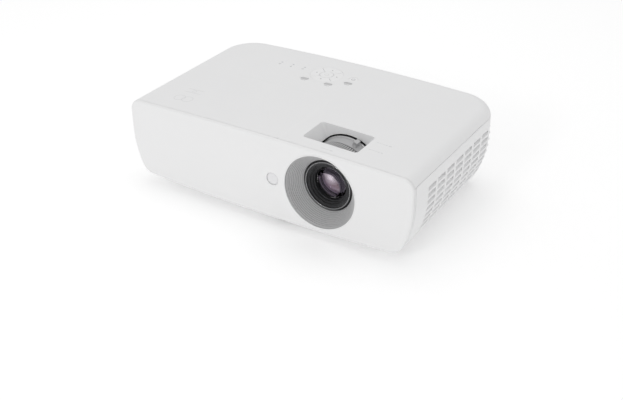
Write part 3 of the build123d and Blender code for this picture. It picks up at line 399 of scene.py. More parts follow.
def makeCoatingAndHighlight(name, values, centre):
    # a coated inner element: rings of plum and lilac, with a painted highlight off the middle: a
    # pale patch, made metallic there too, that stands in for the lens's bright highlight
    material, tree, shader, place = startMaterial(name)
    share = addNode(tree, "ShaderNodeMapRange", {
        "Value": reachFrom(tree, place, centre.x, centre.z), "From Max": values["radius"]})
    tint = ramp(tree, share.outputs["Result"], values["stops"])
    # painted highlight: a pale colour and metal laid by distance from a point off the axis
    side, up = values["highlightOffset"]
    paintedHighlight = addNode(tree, "ShaderNodeMapRange", {
        "Value": reachFrom(tree, place, centre.x + side * mm, centre.z + up * mm),
        "From Max": values["highlightReach"], "To Min": 1.0, "To Max": 0.0},
        interpolation_type="SMOOTHSTEP").outputs["Result"]
    feed(tree, shader, {
        "Base Color": mixColours(tree, paintedHighlight, tint, (*values["paintedHighlight"], 1)), "Metallic": paintedHighlight,
        "Specular IOR Level": 0.8, "Coat Weight": 0.6, "Coat Roughness": 0.04})
    unevenGloss(tree, place, shader, 300, 0.05, 0.12)
    return material


boardValues = dict(colour=(0.020, 0.13, 0.055), shade=(0.012, 0.095, 0.040), cloud=60, grain=1800,
                   gloss=(0.28, 0.40), bump=0.10, trace=(0.09, 0.26, 0.11), pitch=380.0)


def makeBoard(name, values):
    # solder mask over a lattice of copper tracks
    material, tree, shader, place = startMaterial(name)
    skin = skinNode(tree, place, values)
    tracks = addNode(tree, "ShaderNodeTexBrick", {
        "Vector": place, "Scale": values["pitch"], "Mortar Size": 0.06,
        "Color1": (0, 0, 0, 1), "Color2": (0, 0, 0, 1), "Mortar": (1, 1, 1, 1)})
    feed(tree, shader, {
        "Base Color": mixColours(tree, tracks.outputs["Color"], skin.outputs["Colour"],
                                 (*values["trace"], 1)),
        "Roughness": skin.outputs["Roughness"]})
    addBump(tree, tracks.outputs["Fac"], shader, values["bump"])
    return material


wheelValues = {
    "segments": [(0.0, (0.55, 0.04, 0.05)), (0.18, (0.55, 0.42, 0.04)),
                 (0.34, (0.05, 0.42, 0.08)), (0.56, (0.60, 0.62, 0.64)),
                 (0.68, (0.04, 0.30, 0.50)), (0.82, (0.05, 0.07, 0.50))],
    "hubRadius": 0.0125,
    "hubColour": (0.55, 0.55, 0.56, 1),
}


def makeFilterWheel(name, values, centre):
    # the wheel's glass segments, one colour each, round a plated hub
    material, tree, shader, place = startMaterial(name)
    swap = addNode(tree, "ShaderNodeSeparateXYZ", {"Vector": place})
    plane = addNode(tree, "ShaderNodeCombineXYZ", {
        "X": swap.outputs["Y"], "Y": swap.outputs["Z"]})
    shift = addNode(tree, "ShaderNodeMapping", {
        "Vector": plane.outputs["Vector"], "Location": (-centre.y, -centre.z, 0)})
    turn = addNode(tree, "ShaderNodeTexGradient", {"Vector": shift.outputs["Vector"]},
                   gradient_type="RADIAL")
    reach = addNode(tree, "ShaderNodeVectorMath", {0: shift.outputs["Vector"]},
                    operation="LENGTH")
    hub = addNode(tree, "ShaderNodeMath", {0: reach.outputs["Value"], 1: values["hubRadius"]},
                  operation="LESS_THAN").outputs["Value"]
    segments = ramp(tree, turn.outputs["Fac"], values["segments"], True)
    feed(tree, shader, {
        "Base Color": mixColours(tree, hub, segments, values["hubColour"]), "Metallic": hub})
    unevenGloss(tree, place, shader, 400, 0.06, 0.14)
    return material


def middleOf(node):
    low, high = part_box(node)
    return (low + high) / 2


finish = {name: makeFinish(name, values) for name, values in finishValues.items()}
finish["lensGlass"] = makeGlass("lensGlass", glassValues, glassValues["tint"])
finish["lampQuartz"] = makeGlass("lampQuartz", glassValues, (0.94, 0.96, 0.97))
finish["innerCoatingAndHighlight"] = makeCoatingAndHighlight("innerCoatingAndHighlight", coatingAndHighlightValues, middleOf("front_lens"))
finish["boardGreen"] = makeBoard("boardGreen", boardValues)
finish["filterWheel"] = makeFilterWheel("filterWheel", wheelValues, middleOf("colour_wheel"))

finishOfNode = {
    "shellWhite": ["top_cover", "bottom_case", "lamp_cover", "rear_panel"],
    "faceWhite": ["front_panel"],
    "keyWhite": ["key_ok", "key_up", "key_down", "key_left", "key_right", "key_power"],
    "pillGrey": ["key_menu", "key_back", "key_source"],
    "coneGrey": ["lens_recess_ring"],
    "ringSilver": ["zoom_ring"],
    # the focus ring's near-black is painted shade in the knurl's valleys
    "knurlValleyShade": ["focus_ring"],
    "windowGrey": ["receiver_window"],
    "pipeClear": ["status_lights"],
    "barrelBlack": ["lens_barrel", "front_lens_cell", "zoom_lens_cell"],
    "brightTrim": ["lens_trim_ring"],
    "lensGlass": ["front_lens", "zoom_lens", "rear_lens", "relay_lens", "beam_prism"],
    "lampQuartz": ["lamp_burner"],
    "mirrorSilver": ["lamp_reflector", "fold_mirrors", "light_tunnel"],
    "filterWheel": ["colour_wheel"],
    "castAlloy": ["engine_housing", "chip_heatsink", "colour_wheel_motor"],
    "boardGreen": ["chip_board", "main_board", "power_board", "lamp_ballast", "keypad_board"],
    "chipCeramic": ["imaging_chip"],
    "innerBlack": ["intake_fan_frame", "intake_fan_rotor", "exhaust_fan_frame",
                   "exhaust_fan_rotor", "lamp_blower_housing", "lamp_blower_wheel",
                   "lamp_housing", "speaker"],
    "portBlack": ["mains_inlet", "signal_sockets"],
    "platedSteel": ["case_screws", "lamp_cover_screw", "front_foot_stud", "rear_foot_stud"],
    "turnedBrass": ["mount_inserts"],
    "footGrey": ["front_foot_knob", "rear_foot_knob"],
    "padRubber": ["fixed_foot"],
}


def paintNodes():
    for name, members in finishOfNode.items():
        for member in members:
            data = cadNodes[member].data
            data.materials.clear()
            data.materials.append(finish[name])
    left = set(cadNodes) - {m for group in finishOfNode.values() for m in group}
    if left:
        raise ValueError("no finish for " + ", ".join(sorted(left)))


paintNodes()
print("projector: finishes made and laid on", len(cadNodes), "parts")


def placePiece(name, mesh, body, material):
    piece = bpy.data.objects.new(name, mesh)
    scene.collection.objects.link(piece)
    if not mesh.materials:
        mesh.materials.append(finish[material])
    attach(piece, body)
    return piece


def closedMesh(name, work, smooth=False):
    # turns the faces outwards and gives a plain mesh
    bmesh.ops.recalc_face_normals(work, faces=work.faces)
    mesh = bpy.data.meshes.new(name)
    work.to_mesh(mesh)
    work.free()
    for face in mesh.polygons:
        face.use_smooth = smooth
    return mesh


def bridge(work, here, there):
    # one band of faces between two closed rows of points
    for j in range(len(here)):
        k = (j + 1) % len(here)
        work.faces.new((here[j], here[k], there[k], there[j]))


def turnedPiece(name, outline, steps, centre, body, material, smooth=True):
    # a closed outline of (radius, along) in mm spun about the lens axis
    onAxis = 1e-6
    work = bmesh.new()
    rows = []
    for i in range(steps):
        angle = 2 * math.pi * i / steps
        row = []
        for radius, along in outline:
            point = (radius * math.cos(angle), along, radius * math.sin(angle))
            row.append(work.verts.new([centre[k] + point[k] * mm for k in range(3)]))
        rows.append(row)
    for i in range(steps):
        here, there = rows[i], rows[(i + 1) % steps]
        for j in range(len(outline)):
            k = (j + 1) % len(outline)
            if outline[j][0] < onAxis and outline[k][0] < onAxis:
                continue
            work.faces.new((here[j], here[k], there[k], there[j]))
    bmesh.ops.remove_doubles(work, verts=work.verts, dist=1e-7)
    bmesh.ops.dissolve_degenerate(work, edges=work.edges, dist=1e-8)
    return placePiece(name, closedMesh(name, work, smooth), body, material)


def surfaceHit(nodes, start, way):
    # the first point of these parts that a straight line meets
    start = Vector(start)
    nearest = None
    for node in nodes:
        found, at = cadNodes[node].ray_cast(start, Vector(way))[:2]
        if found and (nearest is None or (at - start).length < (nearest - start).length):
            nearest = at
    return nearest


farOff = 0.2  # where lines that look for a surface start, in metres


def skinUnder(nodes, x, y):
    return surfaceHit(nodes, (x * mm, y * mm, farOff), (0, 0, -1))


def printedMark(name, tiles, nodes, body, material, lift=0.04, sink=0.06):
    # a print is a thin skin laid on the parts under it, point by point; tiles are in mm
    work = bmesh.new()
    for tile in tiles:
        corners = [skinUnder(nodes, x, y) for x, y in tile]
        if all(corners):
            work.faces.new([work.verts.new(c + Vector((0, 0, lift * mm))) for c in corners])
    bmesh.ops.remove_doubles(work, verts=work.verts, dist=2e-6)
    lower = bmesh.ops.extrude_face_region(work, geom=list(work.faces))
    moved = [g for g in lower["geom"] if isinstance(g, bmesh.types.BMVert)]
    bmesh.ops.translate(work, verts=moved, vec=Vector((0, 0, -(lift + sink) * mm)))
    return placePiece(name, closedMesh(name, work), body, material)


def seamBead(name, points, values, nodes, body, material):
    # a pale lip in the gap between two covers; each point is (x, y, aside), where aside
    # is a spot on the cover beside the gap that gives the height there
    work = bmesh.new()
    rows = []
    for i, (x, y, aside) in enumerate(points):
        before, after = points[max(i - 1, 0)], points[min(i + 1, len(points) - 1)]
        along = Vector((after[0] - before[0], after[1] - before[1], 0)).normalized()
        across = Vector((-along.y, along.x, 0)) * values["width"] / 2
        at = skinUnder(nodes, *aside)
        if at is None:
            continue
        top = at.z / mm - values["drop"]
        low = top - values["depth"]
        rows.append([work.verts.new(((x + s * across.x) * mm, (y + s * across.y) * mm, z * mm))
                     for s, z in ((1, top), (-1, top), (-1, low), (1, low))])
    for here, there in zip(rows, rows[1:]):
        bridge(work, here, there)
    work.faces.new(rows[0])
    work.faces.new(rows[-1][::-1])
    return placePiece(name, closedMesh(name, work), body, material)


def ringTiles(x, y, outer, inner, start=0.0, end=360.0, steps=28):
    tiles = []
    for i in range(steps):
        a = math.radians(start + (end - start) * i / steps)
        b = math.radians(start + (end - start) * (i + 1) / steps)
        tiles.append([(x + outer * math.cos(a), y + outer * math.sin(a)),
                      (x + outer * math.cos(b), y + outer * math.sin(b)),
                      (x + inner * math.cos(b), y + inner * math.sin(b)),
                      (x + inner * math.cos(a), y + inner * math.sin(a))])
    return tiles


def barTiles(x0, x1, y0, y1, turn=0.0, steps=1):
    cx, cy, a = (x0 + x1) / 2, (y0 + y1) / 2, math.radians(turn)
    tiles = []
    for i in range(steps):
        left, right = x0 + (x1 - x0) * i / steps, x0 + (x1 - x0) * (i + 1) / steps
        corners = [(left, y0), (right, y0), (right, y1), (left, y1)]
        tiles.append([(cx + (u - cx) * math.cos(a) - (v - cy) * math.sin(a),
                       cy + (u - cx) * math.sin(a) + (v - cy) * math.cos(a)) for u, v in corners])
    return tiles


def arrowTile(x, y, size, turn):
    points = [(size, 0), (-size * 0.6, size), (-size * 0.6, -size)]
    a = math.radians(turn)
    return [[(x + u * math.cos(a) - v * math.sin(a), y + u * math.sin(a) + v * math.cos(a))
             for u, v in points]]


geometryOutput = [("Geometry", "NodeSocketGeometry")]


def finishTree(tree, end, instances, start):
    real = addNode(tree, "GeometryNodeRealizeInstances", {"Geometry": instances})
    moved = addNode(tree, "GeometryNodeTransform", {
        "Geometry": real.outputs["Geometry"],
        "Translation": start.outputs["Centre"],
        "Rotation": start.outputs["Turn"]})
    painted = addNode(tree, "GeometryNodeSetMaterial", {
        "Geometry": moved.outputs["Geometry"], "Material": start.outputs["Finish"]})
    tree.links.new(painted.outputs["Geometry"], end.inputs["Geometry"])


def placeInputs():
    return [("Centre", "NodeSocketVector", (0, 0, 0)), ("Turn", "NodeSocketRotation", None),
            ("Finish", "NodeSocketMaterial", None)]


def roundRibsTree():
    # upright ribs in a circle, as on a knurled ring or a thumbwheel
    tree, start, end = newGroup("roundRibs", "GeometryNodeTree", [
        ("Count", "NodeSocketInt", 60), ("Radius", "NodeSocketFloat", 0.03),
        ("Rib Radius", "NodeSocketFloat", 0.0004), ("Rib Length", "NodeSocketFloat", 0.01),
        ("Rib Sides", "NodeSocketInt", 6)] + placeInputs(), geometryOutput)
    circle = addNode(tree, "GeometryNodeMeshCircle", {
        "Vertices": start.outputs["Count"], "Radius": start.outputs["Radius"]})
    rib = addNode(tree, "GeometryNodeMeshCylinder", {
        "Vertices": start.outputs["Rib Sides"], "Radius": start.outputs["Rib Radius"],
        "Depth": start.outputs["Rib Length"]})
    step = addNode(tree, "ShaderNodeMath", {0: 2 * math.pi, 1: start.outputs["Count"]},
                   operation="DIVIDE")
    angle = addNode(tree, "ShaderNodeMath", {
        0: tree.nodes.new("GeometryNodeInputIndex").outputs["Index"], 1: step.outputs["Value"]},
        operation="MULTIPLY")
    turn = addNode(tree, "ShaderNodeCombineXYZ", {"Z": angle.outputs["Value"]})
    ribs = addNode(tree, "GeometryNodeInstanceOnPoints", {
        "Points": circle.outputs["Mesh"], "Instance": rib.outputs["Mesh"],
        "Rotation": turn.outputs["Vector"]})
    finishTree(tree, end, ribs.outputs["Instances"], start)
    return tree


def ringStackTree():
    # rings of growing size set one behind another, as the ripples of a cone or a baffle
    tree, start, end = newGroup("ringStack", "GeometryNodeTree", [
        ("Count", "NodeSocketInt", 12), ("First Radius", "NodeSocketFloat", 0.03),
        ("Last Radius", "NodeSocketFloat", 0.04), ("Length", "NodeSocketFloat", 0.01),
        ("Thickness", "NodeSocketFloat", 0.01), ("Steps", "NodeSocketInt", 112)]
        + placeInputs(), geometryOutput)
    last = addNode(tree, "ShaderNodeMath", {0: start.outputs["Count"], 1: 1.0},
                   operation="SUBTRACT")
    share = addNode(tree, "ShaderNodeMath", {
        0: tree.nodes.new("GeometryNodeInputIndex").outputs["Index"], 1: last.outputs["Value"]},
        operation="DIVIDE")
    along = addNode(tree, "ShaderNodeMath", {
        0: share.outputs["Value"], 1: start.outputs["Length"]}, operation="MULTIPLY")
    place = addNode(tree, "ShaderNodeCombineXYZ", {"Z": along.outputs["Value"]})
    line = addNode(tree, "GeometryNodeMeshLine", {"Count": start.outputs["Count"]})
    points = addNode(tree, "GeometryNodeSetPosition", {
        "Geometry": line.outputs["Mesh"], "Position": place.outputs["Vector"]})
    size = addNode(tree, "ShaderNodeMapRange", {
        "Value": share.outputs["Value"], "To Min": start.outputs["First Radius"],
        "To Max": start.outputs["Last Radius"]})
    scale = addNode(tree, "ShaderNodeCombineXYZ", {
        "X": size.outputs["Result"], "Y": size.outputs["Result"],
        "Z": size.outputs["Result"]})
    loop = addNode(tree, "GeometryNodeCurvePrimitiveCircle", {
        "Resolution": start.outputs["Steps"], "Radius": 1.0})
    bead = addNode(tree, "GeometryNodeCurvePrimitiveCircle", {
        "Resolution": 6, "Radius": start.outputs["Thickness"]})
    ring = addNode(tree, "GeometryNodeCurveToMesh", {
        "Curve": loop.outputs["Curve"], "Profile Curve": bead.outputs["Curve"]})
    soft = addNode(tree, "GeometryNodeSetShadeSmooth", {"Geometry": ring.outputs["Mesh"]})
    rings = addNode(tree, "GeometryNodeInstanceOnPoints", {
        "Points": points.outputs["Geometry"], "Instance": soft.outputs["Geometry"],
        "Scale": scale.outputs["Vector"]})
    finishTree(tree, end, rings.outputs["Instances"], start)
    return tree


def gridRodsTree():
    # a grid of short rods, as pin holes, ridges or slats: the sides and the size shape each one
    tree, start, end = newGroup("gridRods", "GeometryNodeTree", [
        ("Columns", "NodeSocketInt", 5), ("Rows", "NodeSocketInt", 3),
        ("Width", "NodeSocketFloat", 0.02), ("Height", "NodeSocketFloat", 0.005),
        ("Rod Size", "NodeSocketVector", (0.001, 0.001, 0.001)),
        ("Rod Turn", "NodeSocketRotation", None),
        ("Sides", "NodeSocketInt", 12)] + placeInputs(), geometryOutput)
    grid = addNode(tree, "GeometryNodeMeshGrid", {
        "Size X": start.outputs["Width"], "Size Y": start.outputs["Height"],
        "Vertices X": start.outputs["Columns"], "Vertices Y": start.outputs["Rows"]})
    rod = addNode(tree, "GeometryNodeMeshCylinder", {
        "Vertices": start.outputs["Sides"], "Radius": 0.5, "Depth": 1.0})
    rods = addNode(tree, "GeometryNodeInstanceOnPoints", {
        "Points": grid.outputs["Mesh"], "Instance": rod.outputs["Mesh"],
        "Scale": start.outputs["Rod Size"], "Rotation": start.outputs["Rod Turn"]})
    finishTree(tree, end, rods.outputs["Instances"], start)
    return tree


ribsTree = roundRibsTree()
stackTree = ringStackTree()
gridTree = gridRodsTree()


def grown(name, tree, values, body, material):
    # runs a tree once and keeps its result as a plain mesh
    holder = bpy.data.objects.new(name + "Maker", bpy.data.meshes.new(name + "Maker"))
    scene.collection.objects.link(holder)
    modifier = holder.modifiers.new("maker", "NODES")
    modifier.node_group = tree
    sockets = {s.name: s.identifier for s in tree.interface.items_tree
               if s.item_type == "SOCKET" and s.in_out == "INPUT"}
    for label, value in {**values, "Finish": finish[material]}.items():
        modifier[sockets[label]] = value
    evaluated = holder.evaluated_get(bpy.context.evaluated_depsgraph_get())
    mesh = bpy.data.meshes.new_from_object(evaluated)
    mesh.name = name
    holder.modifiers.remove(modifier)
    bpy.data.objects.remove(holder)
    return placePiece(name, mesh, body, material)


quarter = math.pi / 2


lensValues = {
    "glassRadius": 17.3,
    "glassSteps": 144,
    "glassRimBack": 7.0,  # from the front lens's back face forward to the new glass's rim
    "glassDepth": 4.5,
    "domeHeight": 4.0,
    "innerRadius": 11.6,
    "innerRim": 9.4,
    "innerHeight": 3.0,
    "innerBack": 12.6,
    "spacers": ((12.3, 8.6, 0.7), (13.5, 7.4, 0.8), (14.7, 6.5, 0.6)),
    "trimTip": 0.5,
    "trimLine": ((24.72, -0.1), (24.78, -0.4), (24.92, -0.5), (25.06, -0.4), (25.12, -0.1),
                 (25.12, 0.55), (24.72, 0.55)),
    "trimSeat": ((24.2, 0.0), (24.71, 0.0), (24.71, 0.55), (24.2, 0.55)),
    "baffles": 5,
    "baffleSets": ((22.85, 21.0, 0.98), (20.85, 19.0, 2.98), (19.15, 18.1, 5.48)),
    "ripples": 9,
    "rippleFirst": 37.9,
    "rippleLast": 28.9,
    "rippleStart": 1.5,
    "rippleLength": 12.2,
    "rippleSize": 0.019,
}

ringValues = {
    "knurls": 96,
    "knurlSize": 0.00062,
    "knurlInset": 0.00005,
    "knurlMargin": 0.0024,
    # band: a black band on the focus ring's edge next to the zoom ring, painted shade that widens
    # the dark gap between the rings
    "band": ((-0.4, -0.75), (0.05, -0.7), (0.05, -0.1), (-0.4, 0.0)),
    "collar": ((-1.0, -0.9), (0.1, -0.9), (0.75, -0.5), (0.75, 0.0), (-1.0, 0.0)),
    "tabAngle": 20.0,
    "tabLift": 0.0016,
}


def domeOutline(radius, rim, crown, back, steps=18):
    # from the rim's front edge over the crown to the middle, then down a flat back
    points = []
    curve = (radius ** 2 + crown ** 2) / (2 * crown)
    for i in range(steps + 1):
        r = radius * (1 - i / steps)
        sagAt = curve - math.sqrt(curve ** 2 - r ** 2)
        points.append((r, rim - crown + sagAt))
    points.append((0.0, back))
    points.append((radius, back))
    return points


def makeLensLooks(values):
    low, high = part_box("front_lens")
    axis = ((low.x + high.x) / 2, 0.0, (low.z + high.z) / 2)
    rim = high.y / mm - values["glassRimBack"]
    outline = domeOutline(values["glassRadius"], rim, values["domeHeight"],
                          rim + values["glassDepth"])
    glass = turnedPiece("frontGlass", outline, values["glassSteps"], axis, "front_group",
                        "lensGlass")
    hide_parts("front_lens")
    inner = domeOutline(values["innerRadius"], rim + values["innerRim"], values["innerHeight"],
                        rim + values["innerBack"])
    turnedPiece("innerElement", inner, 96, axis, "front_group", "innerCoatingAndHighlight")
    for i, (radius, along, width) in enumerate(values["spacers"], 1):
        ring = [(radius, rim + along), (radius + width, rim + along - 0.5),
                (radius + width + 0.5, rim + along + 1.4), (radius, rim + along + 1.4)]
        turnedPiece(f"lensSpacer{i}", ring, 96, axis, "front_group", "innerCoatingAndHighlight")
    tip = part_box("lens_trim_ring")[0].y / mm + values["trimTip"]
    line = [(radius, tip + along) for radius, along in values["trimLine"]]
    bright = turnedPiece("trimLine", line, 144, axis, "front_group", "brightTrim")
    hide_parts("lens_trim_ring")
    seat = [(radius, tip + along) for radius, along in values["trimSeat"]]
    turnedPiece("trimSeat", seat, 144, axis, "front_group", "barrelBlack",
                smooth=False)
    for i, (first, last, along) in enumerate(values["baffleSets"], 1):
        grown(f"baffleRings{i}", stackTree, {
            "Count": values["baffles"], "First Radius": first * mm, "Last Radius": last * mm,
            "Length": 0.0, "Thickness": 0.008, "Steps": 96,
            "Centre": (axis[0], (tip + along) * mm, axis[2]), "Turn": (-quarter, 0.0, 0.0)},
            "front_group", "baffleBlack")
    return axis


def makeConeRipples(axis, values):
    # fine ridges down the grey cone round the lens
    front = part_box("lens_recess_ring")[0].y
    grown("coneRipples", stackTree, {
        "Count": values["ripples"], "First Radius": values["rippleFirst"] * mm,
        "Last Radius": values["rippleLast"] * mm, "Length": values["rippleLength"] * mm,
        "Thickness": values["rippleSize"], "Steps": 128,
        "Centre": (axis[0], front + values["rippleStart"] * mm, axis[2]),
        "Turn": (-quarter, 0.0, 0.0)}, "case", "coneGrey")


def makeRingLooks(axis, values):
    low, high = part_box("focus_ring")
    centre = (axis[0], 0.0, axis[2])
    reach = (high.x - low.x) / 2
    grown("focusKnurl", ribsTree, {
        "Count": values["knurls"], "Radius": reach - values["knurlInset"],
        "Rib Radius": values["knurlSize"],
        "Rib Length": (high.y - low.y) - values["knurlMargin"], "Rib Sides": 6,
        "Centre": (axis[0], (low.y + high.y) / 2, axis[2]), "Turn": (quarter, 0.0, 0.0)},
        "focus_ring", "knurlSilver")
    # a black band on the ring's edge, painted shade that widens the dark line of the gap to the
    # zoom ring
    band = [(reach / mm + r, high.y / mm + along) for r, along in values["band"]]
    turnedPiece("focusGapShade", band, 128, centre, "focus_ring", "barrelBlack",
                smooth=False)
    low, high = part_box("zoom_ring")
    collar = [(reach / mm + r, high.y / mm + along) for r, along in values["collar"]]
    turnedPiece("zoomCollar", collar, 128, centre, "zoom_ring", "ringSilver",
                smooth=False)
    angle = math.radians(values["tabAngle"])
    reach = (high.z - axis[2]) + values["tabLift"]
    grown("tabGrip", gridTree, {
        "Columns": 1, "Rows": 4, "Width": 0.0, "Height": 0.0048,
        "Rod Size": (0.0005, 0.0005, 0.0032), "Rod Turn": (0.0, quarter, 0.0), "Sides": 8,
        "Centre": (axis[0] + reach * math.sin(angle), (low.y + high.y) / 2,
                   axis[2] + reach * math.cos(angle)),
        "Turn": (0.0, angle, 0.0)}, "zoom_ring", "ringSilver")


lensAxis = makeLensLooks(lensValues)
makeConeRipples(lensAxis, lensValues)
makeRingLooks(lensAxis, ringValues)
print("projector: lens and rings dressed")


ventValues = {
    "rows": 7,
    "pitch": 7.4,
    "firstHeight": 72.4,
    "setBack": 4.5,
    "slatDepth": 4.6,
    "slatThickness": 1.1,
    "tilt": 48.0,
    "from": -72.0,
    "to": 84.0,
    "bulgeRadius": 100.0,
    "bulgeHeight": 62.0,
}


def makeVentSlats(values):
    # pale sloped slats stand behind each row of slots and close the view to the fans
    half = cadBounds[1].x / mm
    length = values["to"] - values["from"]
    middle = (values["to"] + values["from"]) / 2
    for side, name in ((1, "rightSlat"), (-1, "leftSlat")):
        for row in range(0 if side > 0 else 2, values["rows"]):
            z = values["firstHeight"] - row * values["pitch"]
            drop = abs(z - values["bulgeHeight"])
            inset = values["bulgeRadius"] - math.sqrt(values["bulgeRadius"] ** 2 - drop ** 2)
            x = side * (half - inset - values["setBack"])
            grown(f"{name}{row + 1}", gridTree, {
                "Columns": 1, "Rows": 1, "Width": 0.0, "Height": 0.0, "Sides": 8,
                "Rod Size": (values["slatDepth"] * mm, values["slatThickness"] * mm, length * mm),
                "Rod Turn": (quarter, 0.0, 0.0), "Centre": (x * mm, middle * mm, z * mm),
                "Turn": (0.0, side * math.radians(values["tilt"]), 0.0)},
                "case", "ventShade")


makeVentSlats(ventValues)
print("projector: vents closed with slats")


printValues = {
    "padCentre": (-18.0, 52.0),
    "arrowReach": 12.6,
    "arrowSize": 1.15,
    "powerSpot": (13.0, 56.0),
    "pillLabels": ((-33.5, 27.2), (-4.0, 27.2), (13.0, 40.4)),
    "lightIconRow": 52.0,
    "lightIcons": {"power": -49.0, "heat": -64.0, "lamp": -79.0},
    "rays": 6,
    "rayReach": 1.55,
    "ringGuides": ((-55.0, 3.2), (-71.0, 1.8)),
    "badgeBars": (-58.6, -50.9),
    "badgeCentre": (-116.5, -54.5),
    "lidRings": ((-121.0, -74.0), (-111.0, -74.0)),
}


def rayTiles(x, y, reach, count):
    # short bars set round a point, as the rays of a lamp
    tiles = []
    for k in range(count):
        turn = 360 * k / count
        u = x + reach * math.cos(math.radians(turn))
        v = y + reach * math.sin(math.radians(turn))
        tiles += barTiles(u - 0.45, u + 0.45, v - 0.12, v + 0.12, turn)
    return tiles


def makePrints(values):
    def grey(name, tiles, node="top_cover", body="case"):
        printedMark(name, tiles, [node], body, "printGrey")

    def pale(name, tiles, node="top_cover", body="case"):
        printedMark(name, tiles, [node], body, "printPale")

    px, py = values["padCentre"]
    for name, turn in (("right", 0), ("up", 90), ("left", 180), ("down", 270)):
        a = math.radians(turn)
        x, y = px + values["arrowReach"] * math.cos(a), py + values["arrowReach"] * math.sin(a)
        grey(f"arrow_{name}", arrowTile(x, y, values["arrowSize"], turn), f"key_{name}",
             f"key_{name}")
    pale("okRing", ringTiles(px, py, 2.6, 2.1), "key_ok", "key_ok")
    wx, wy = values["powerSpot"]
    grey("powerMark", ringTiles(wx, wy, 2.3, 1.75, 125, 415, 24)
         + barTiles(wx - 0.28, wx + 0.28, wy + 0.4, wy + 2.7), "key_power", "key_power")
    for i, (x, y) in enumerate(values["pillLabels"], 1):
        grey(f"pillLabel{i}", barTiles(x - 2.6, x + 2.0, y - 0.35, y + 0.35)
             + barTiles(x + 2.5, x + 3.3, y - 0.35, y + 0.35))
    row, icons = values["lightIconRow"], values["lightIcons"]
    x = icons["power"]
    grey("indicatorPower", ringTiles(x, row, 1.3, 0.95, 125, 415, 18)
         + barTiles(x - 0.16, x + 0.16, row + 0.2, row + 1.5))
    x = icons["heat"]
    grey("indicatorHeat", barTiles(x - 0.3, x + 0.3, row - 0.4, row + 1.6)
         + ringTiles(x, row - 1.0, 0.75, 0.2, 0, 360, 14))
    x = icons["lamp"]
    grey("indicatorLamp", ringTiles(x, row, 0.85, 0.45, 0, 360, 14)
         + rayTiles(x, row, values["rayReach"], values["rays"]))
    for i, (y, longer) in enumerate(values["ringGuides"], 1):
        pale(f"ringGuide{i}", barTiles(104, 113, y - 0.22, y + 0.22, 0, 6)
             + arrowTile(103.4, y, 0.9, 180) + arrowTile(113.6, y, 0.9, 0)
             + barTiles(115.6, 115.6 + longer, y - 0.7, y + 0.7))
    pale("windowGuide", barTiles(65.5, 72.0, -94.25, -93.75, 0, 4)
         + arrowTile(64.6, -94, 0.8, 180) + barTiles(73.4, 76.4, -94.6, -93.4))
    first, second = values["badgeBars"]
    pale("lidBadge", barTiles(-127, -106, first, first + 0.5, 0, 8)
         + barTiles(-127, -106, second, second + 0.5, 0, 8)
         + ringTiles(*values["badgeCentre"], 2.4, 1.9), "lamp_cover", "lamp_lid")
    rings = [t for x, y in values["lidRings"] for t in ringTiles(x, y, 6.2, 5.7, 0, 360, 40)]
    pale("lidRings", rings, "lamp_cover", "lamp_lid")


rimValues = {
    "recess": {"probe": 40.3, "radius": 39.35, "size": 0.42, "drop": 0.10, "steps": 120},
    "pad": {"probe": 18.69, "radius": 18.19, "size": 0.14, "drop": 0.16, "steps": 120},
    "power": {"probe": 5.8, "radius": 5.18, "size": 0.14, "drop": 0.16, "steps": 64},
}


def ringBead(name, centre, values, node, facing, material):
    # a closed round bead that follows the skin found at its probe radius
    sides = 6
    work = bmesh.new()
    rows = []
    for i in range(values["steps"]):
        turn = 2 * math.pi * i / values["steps"]
        c, d = math.cos(turn), math.sin(turn)
        u, v = centre[0] + values["probe"] * c, centre[1] + values["probe"] * d
        if facing == "up":
            height = skinUnder([node], u, v).z / mm - values["drop"]
        else:
            at = surfaceHit([node], (u * mm, -farOff, v * mm), (0, 1, 0))
            height = at.y / mm + values["drop"]
        row = []
        for j in range(sides):
            b = 2 * math.pi * j / sides
            r = values["radius"] + values["size"] * math.cos(b)
            u, v = (centre[0] + r * c) * mm, (centre[1] + r * d) * mm
            h = (height + values["size"] * math.sin(b)) * mm
            row.append(work.verts.new((u, v, h) if facing == "up" else (u, h, v)))
        rows.append(row)
    for here, there in zip(rows, rows[1:] + rows[:1]):
        bridge(work, here, there)
    return placePiece(name, closedMesh(name, work, True), "case", material)


def makeRims(values):
    key = middleOf("key_power")
    # the rim round the lens recess is a raised bead that catches light, its colour lighter than the
    # face as a painted highlight
    ringBead("recessRim", (lensAxis[0] / mm, lensAxis[2] / mm), values["recess"], "front_panel",
             "front", "paintedHighlightWhite")
    ringBead("padRim", printValues["padCentre"], values["pad"], "top_cover", "up", "shellWhite")
    ringBead("powerRim", (key.x / mm, key.y / mm), values["power"], "top_cover", "up",
             "shellWhite")


makeRims(rimValues)
print("projector: rims and gap fillers laid")


lidValues = {
    "edge": 19.0,
    "back": 4.0,
    "front": -99.0,
    "left": -160.0,
    "width": 0.40,
    "drop": -0.05,
    "depth": 0.8,
    "aside": 1.2,
    "steps": 40,
}


def spread(start, end, steps):
    return [start + (end - start) * i / steps for i in range(steps + 1)]


def makeLidLips(values):
    edge, back, aside = values["edge"], values["back"], values["aside"]
    side = [(edge, y, (edge + aside, y)) for y in spread(values["front"], back, values["steps"])]
    # the side lip is lighter than the covers, a painted highlight line along the lamp cover's seam
    seamBead("lidLipSide", side, values, ["top_cover"], "case", "paintedHighlightWhite")
    behind = [(x, back, (x, back + aside)) for x in spread(values["left"], edge, values["steps"])]
    seamBead("lidLipBack", behind, values, ["top_cover"], "case", "faceWhite")


makeLidLips(lidValues)
makePrints(printValues)
print("projector: key and guide marks laid on")


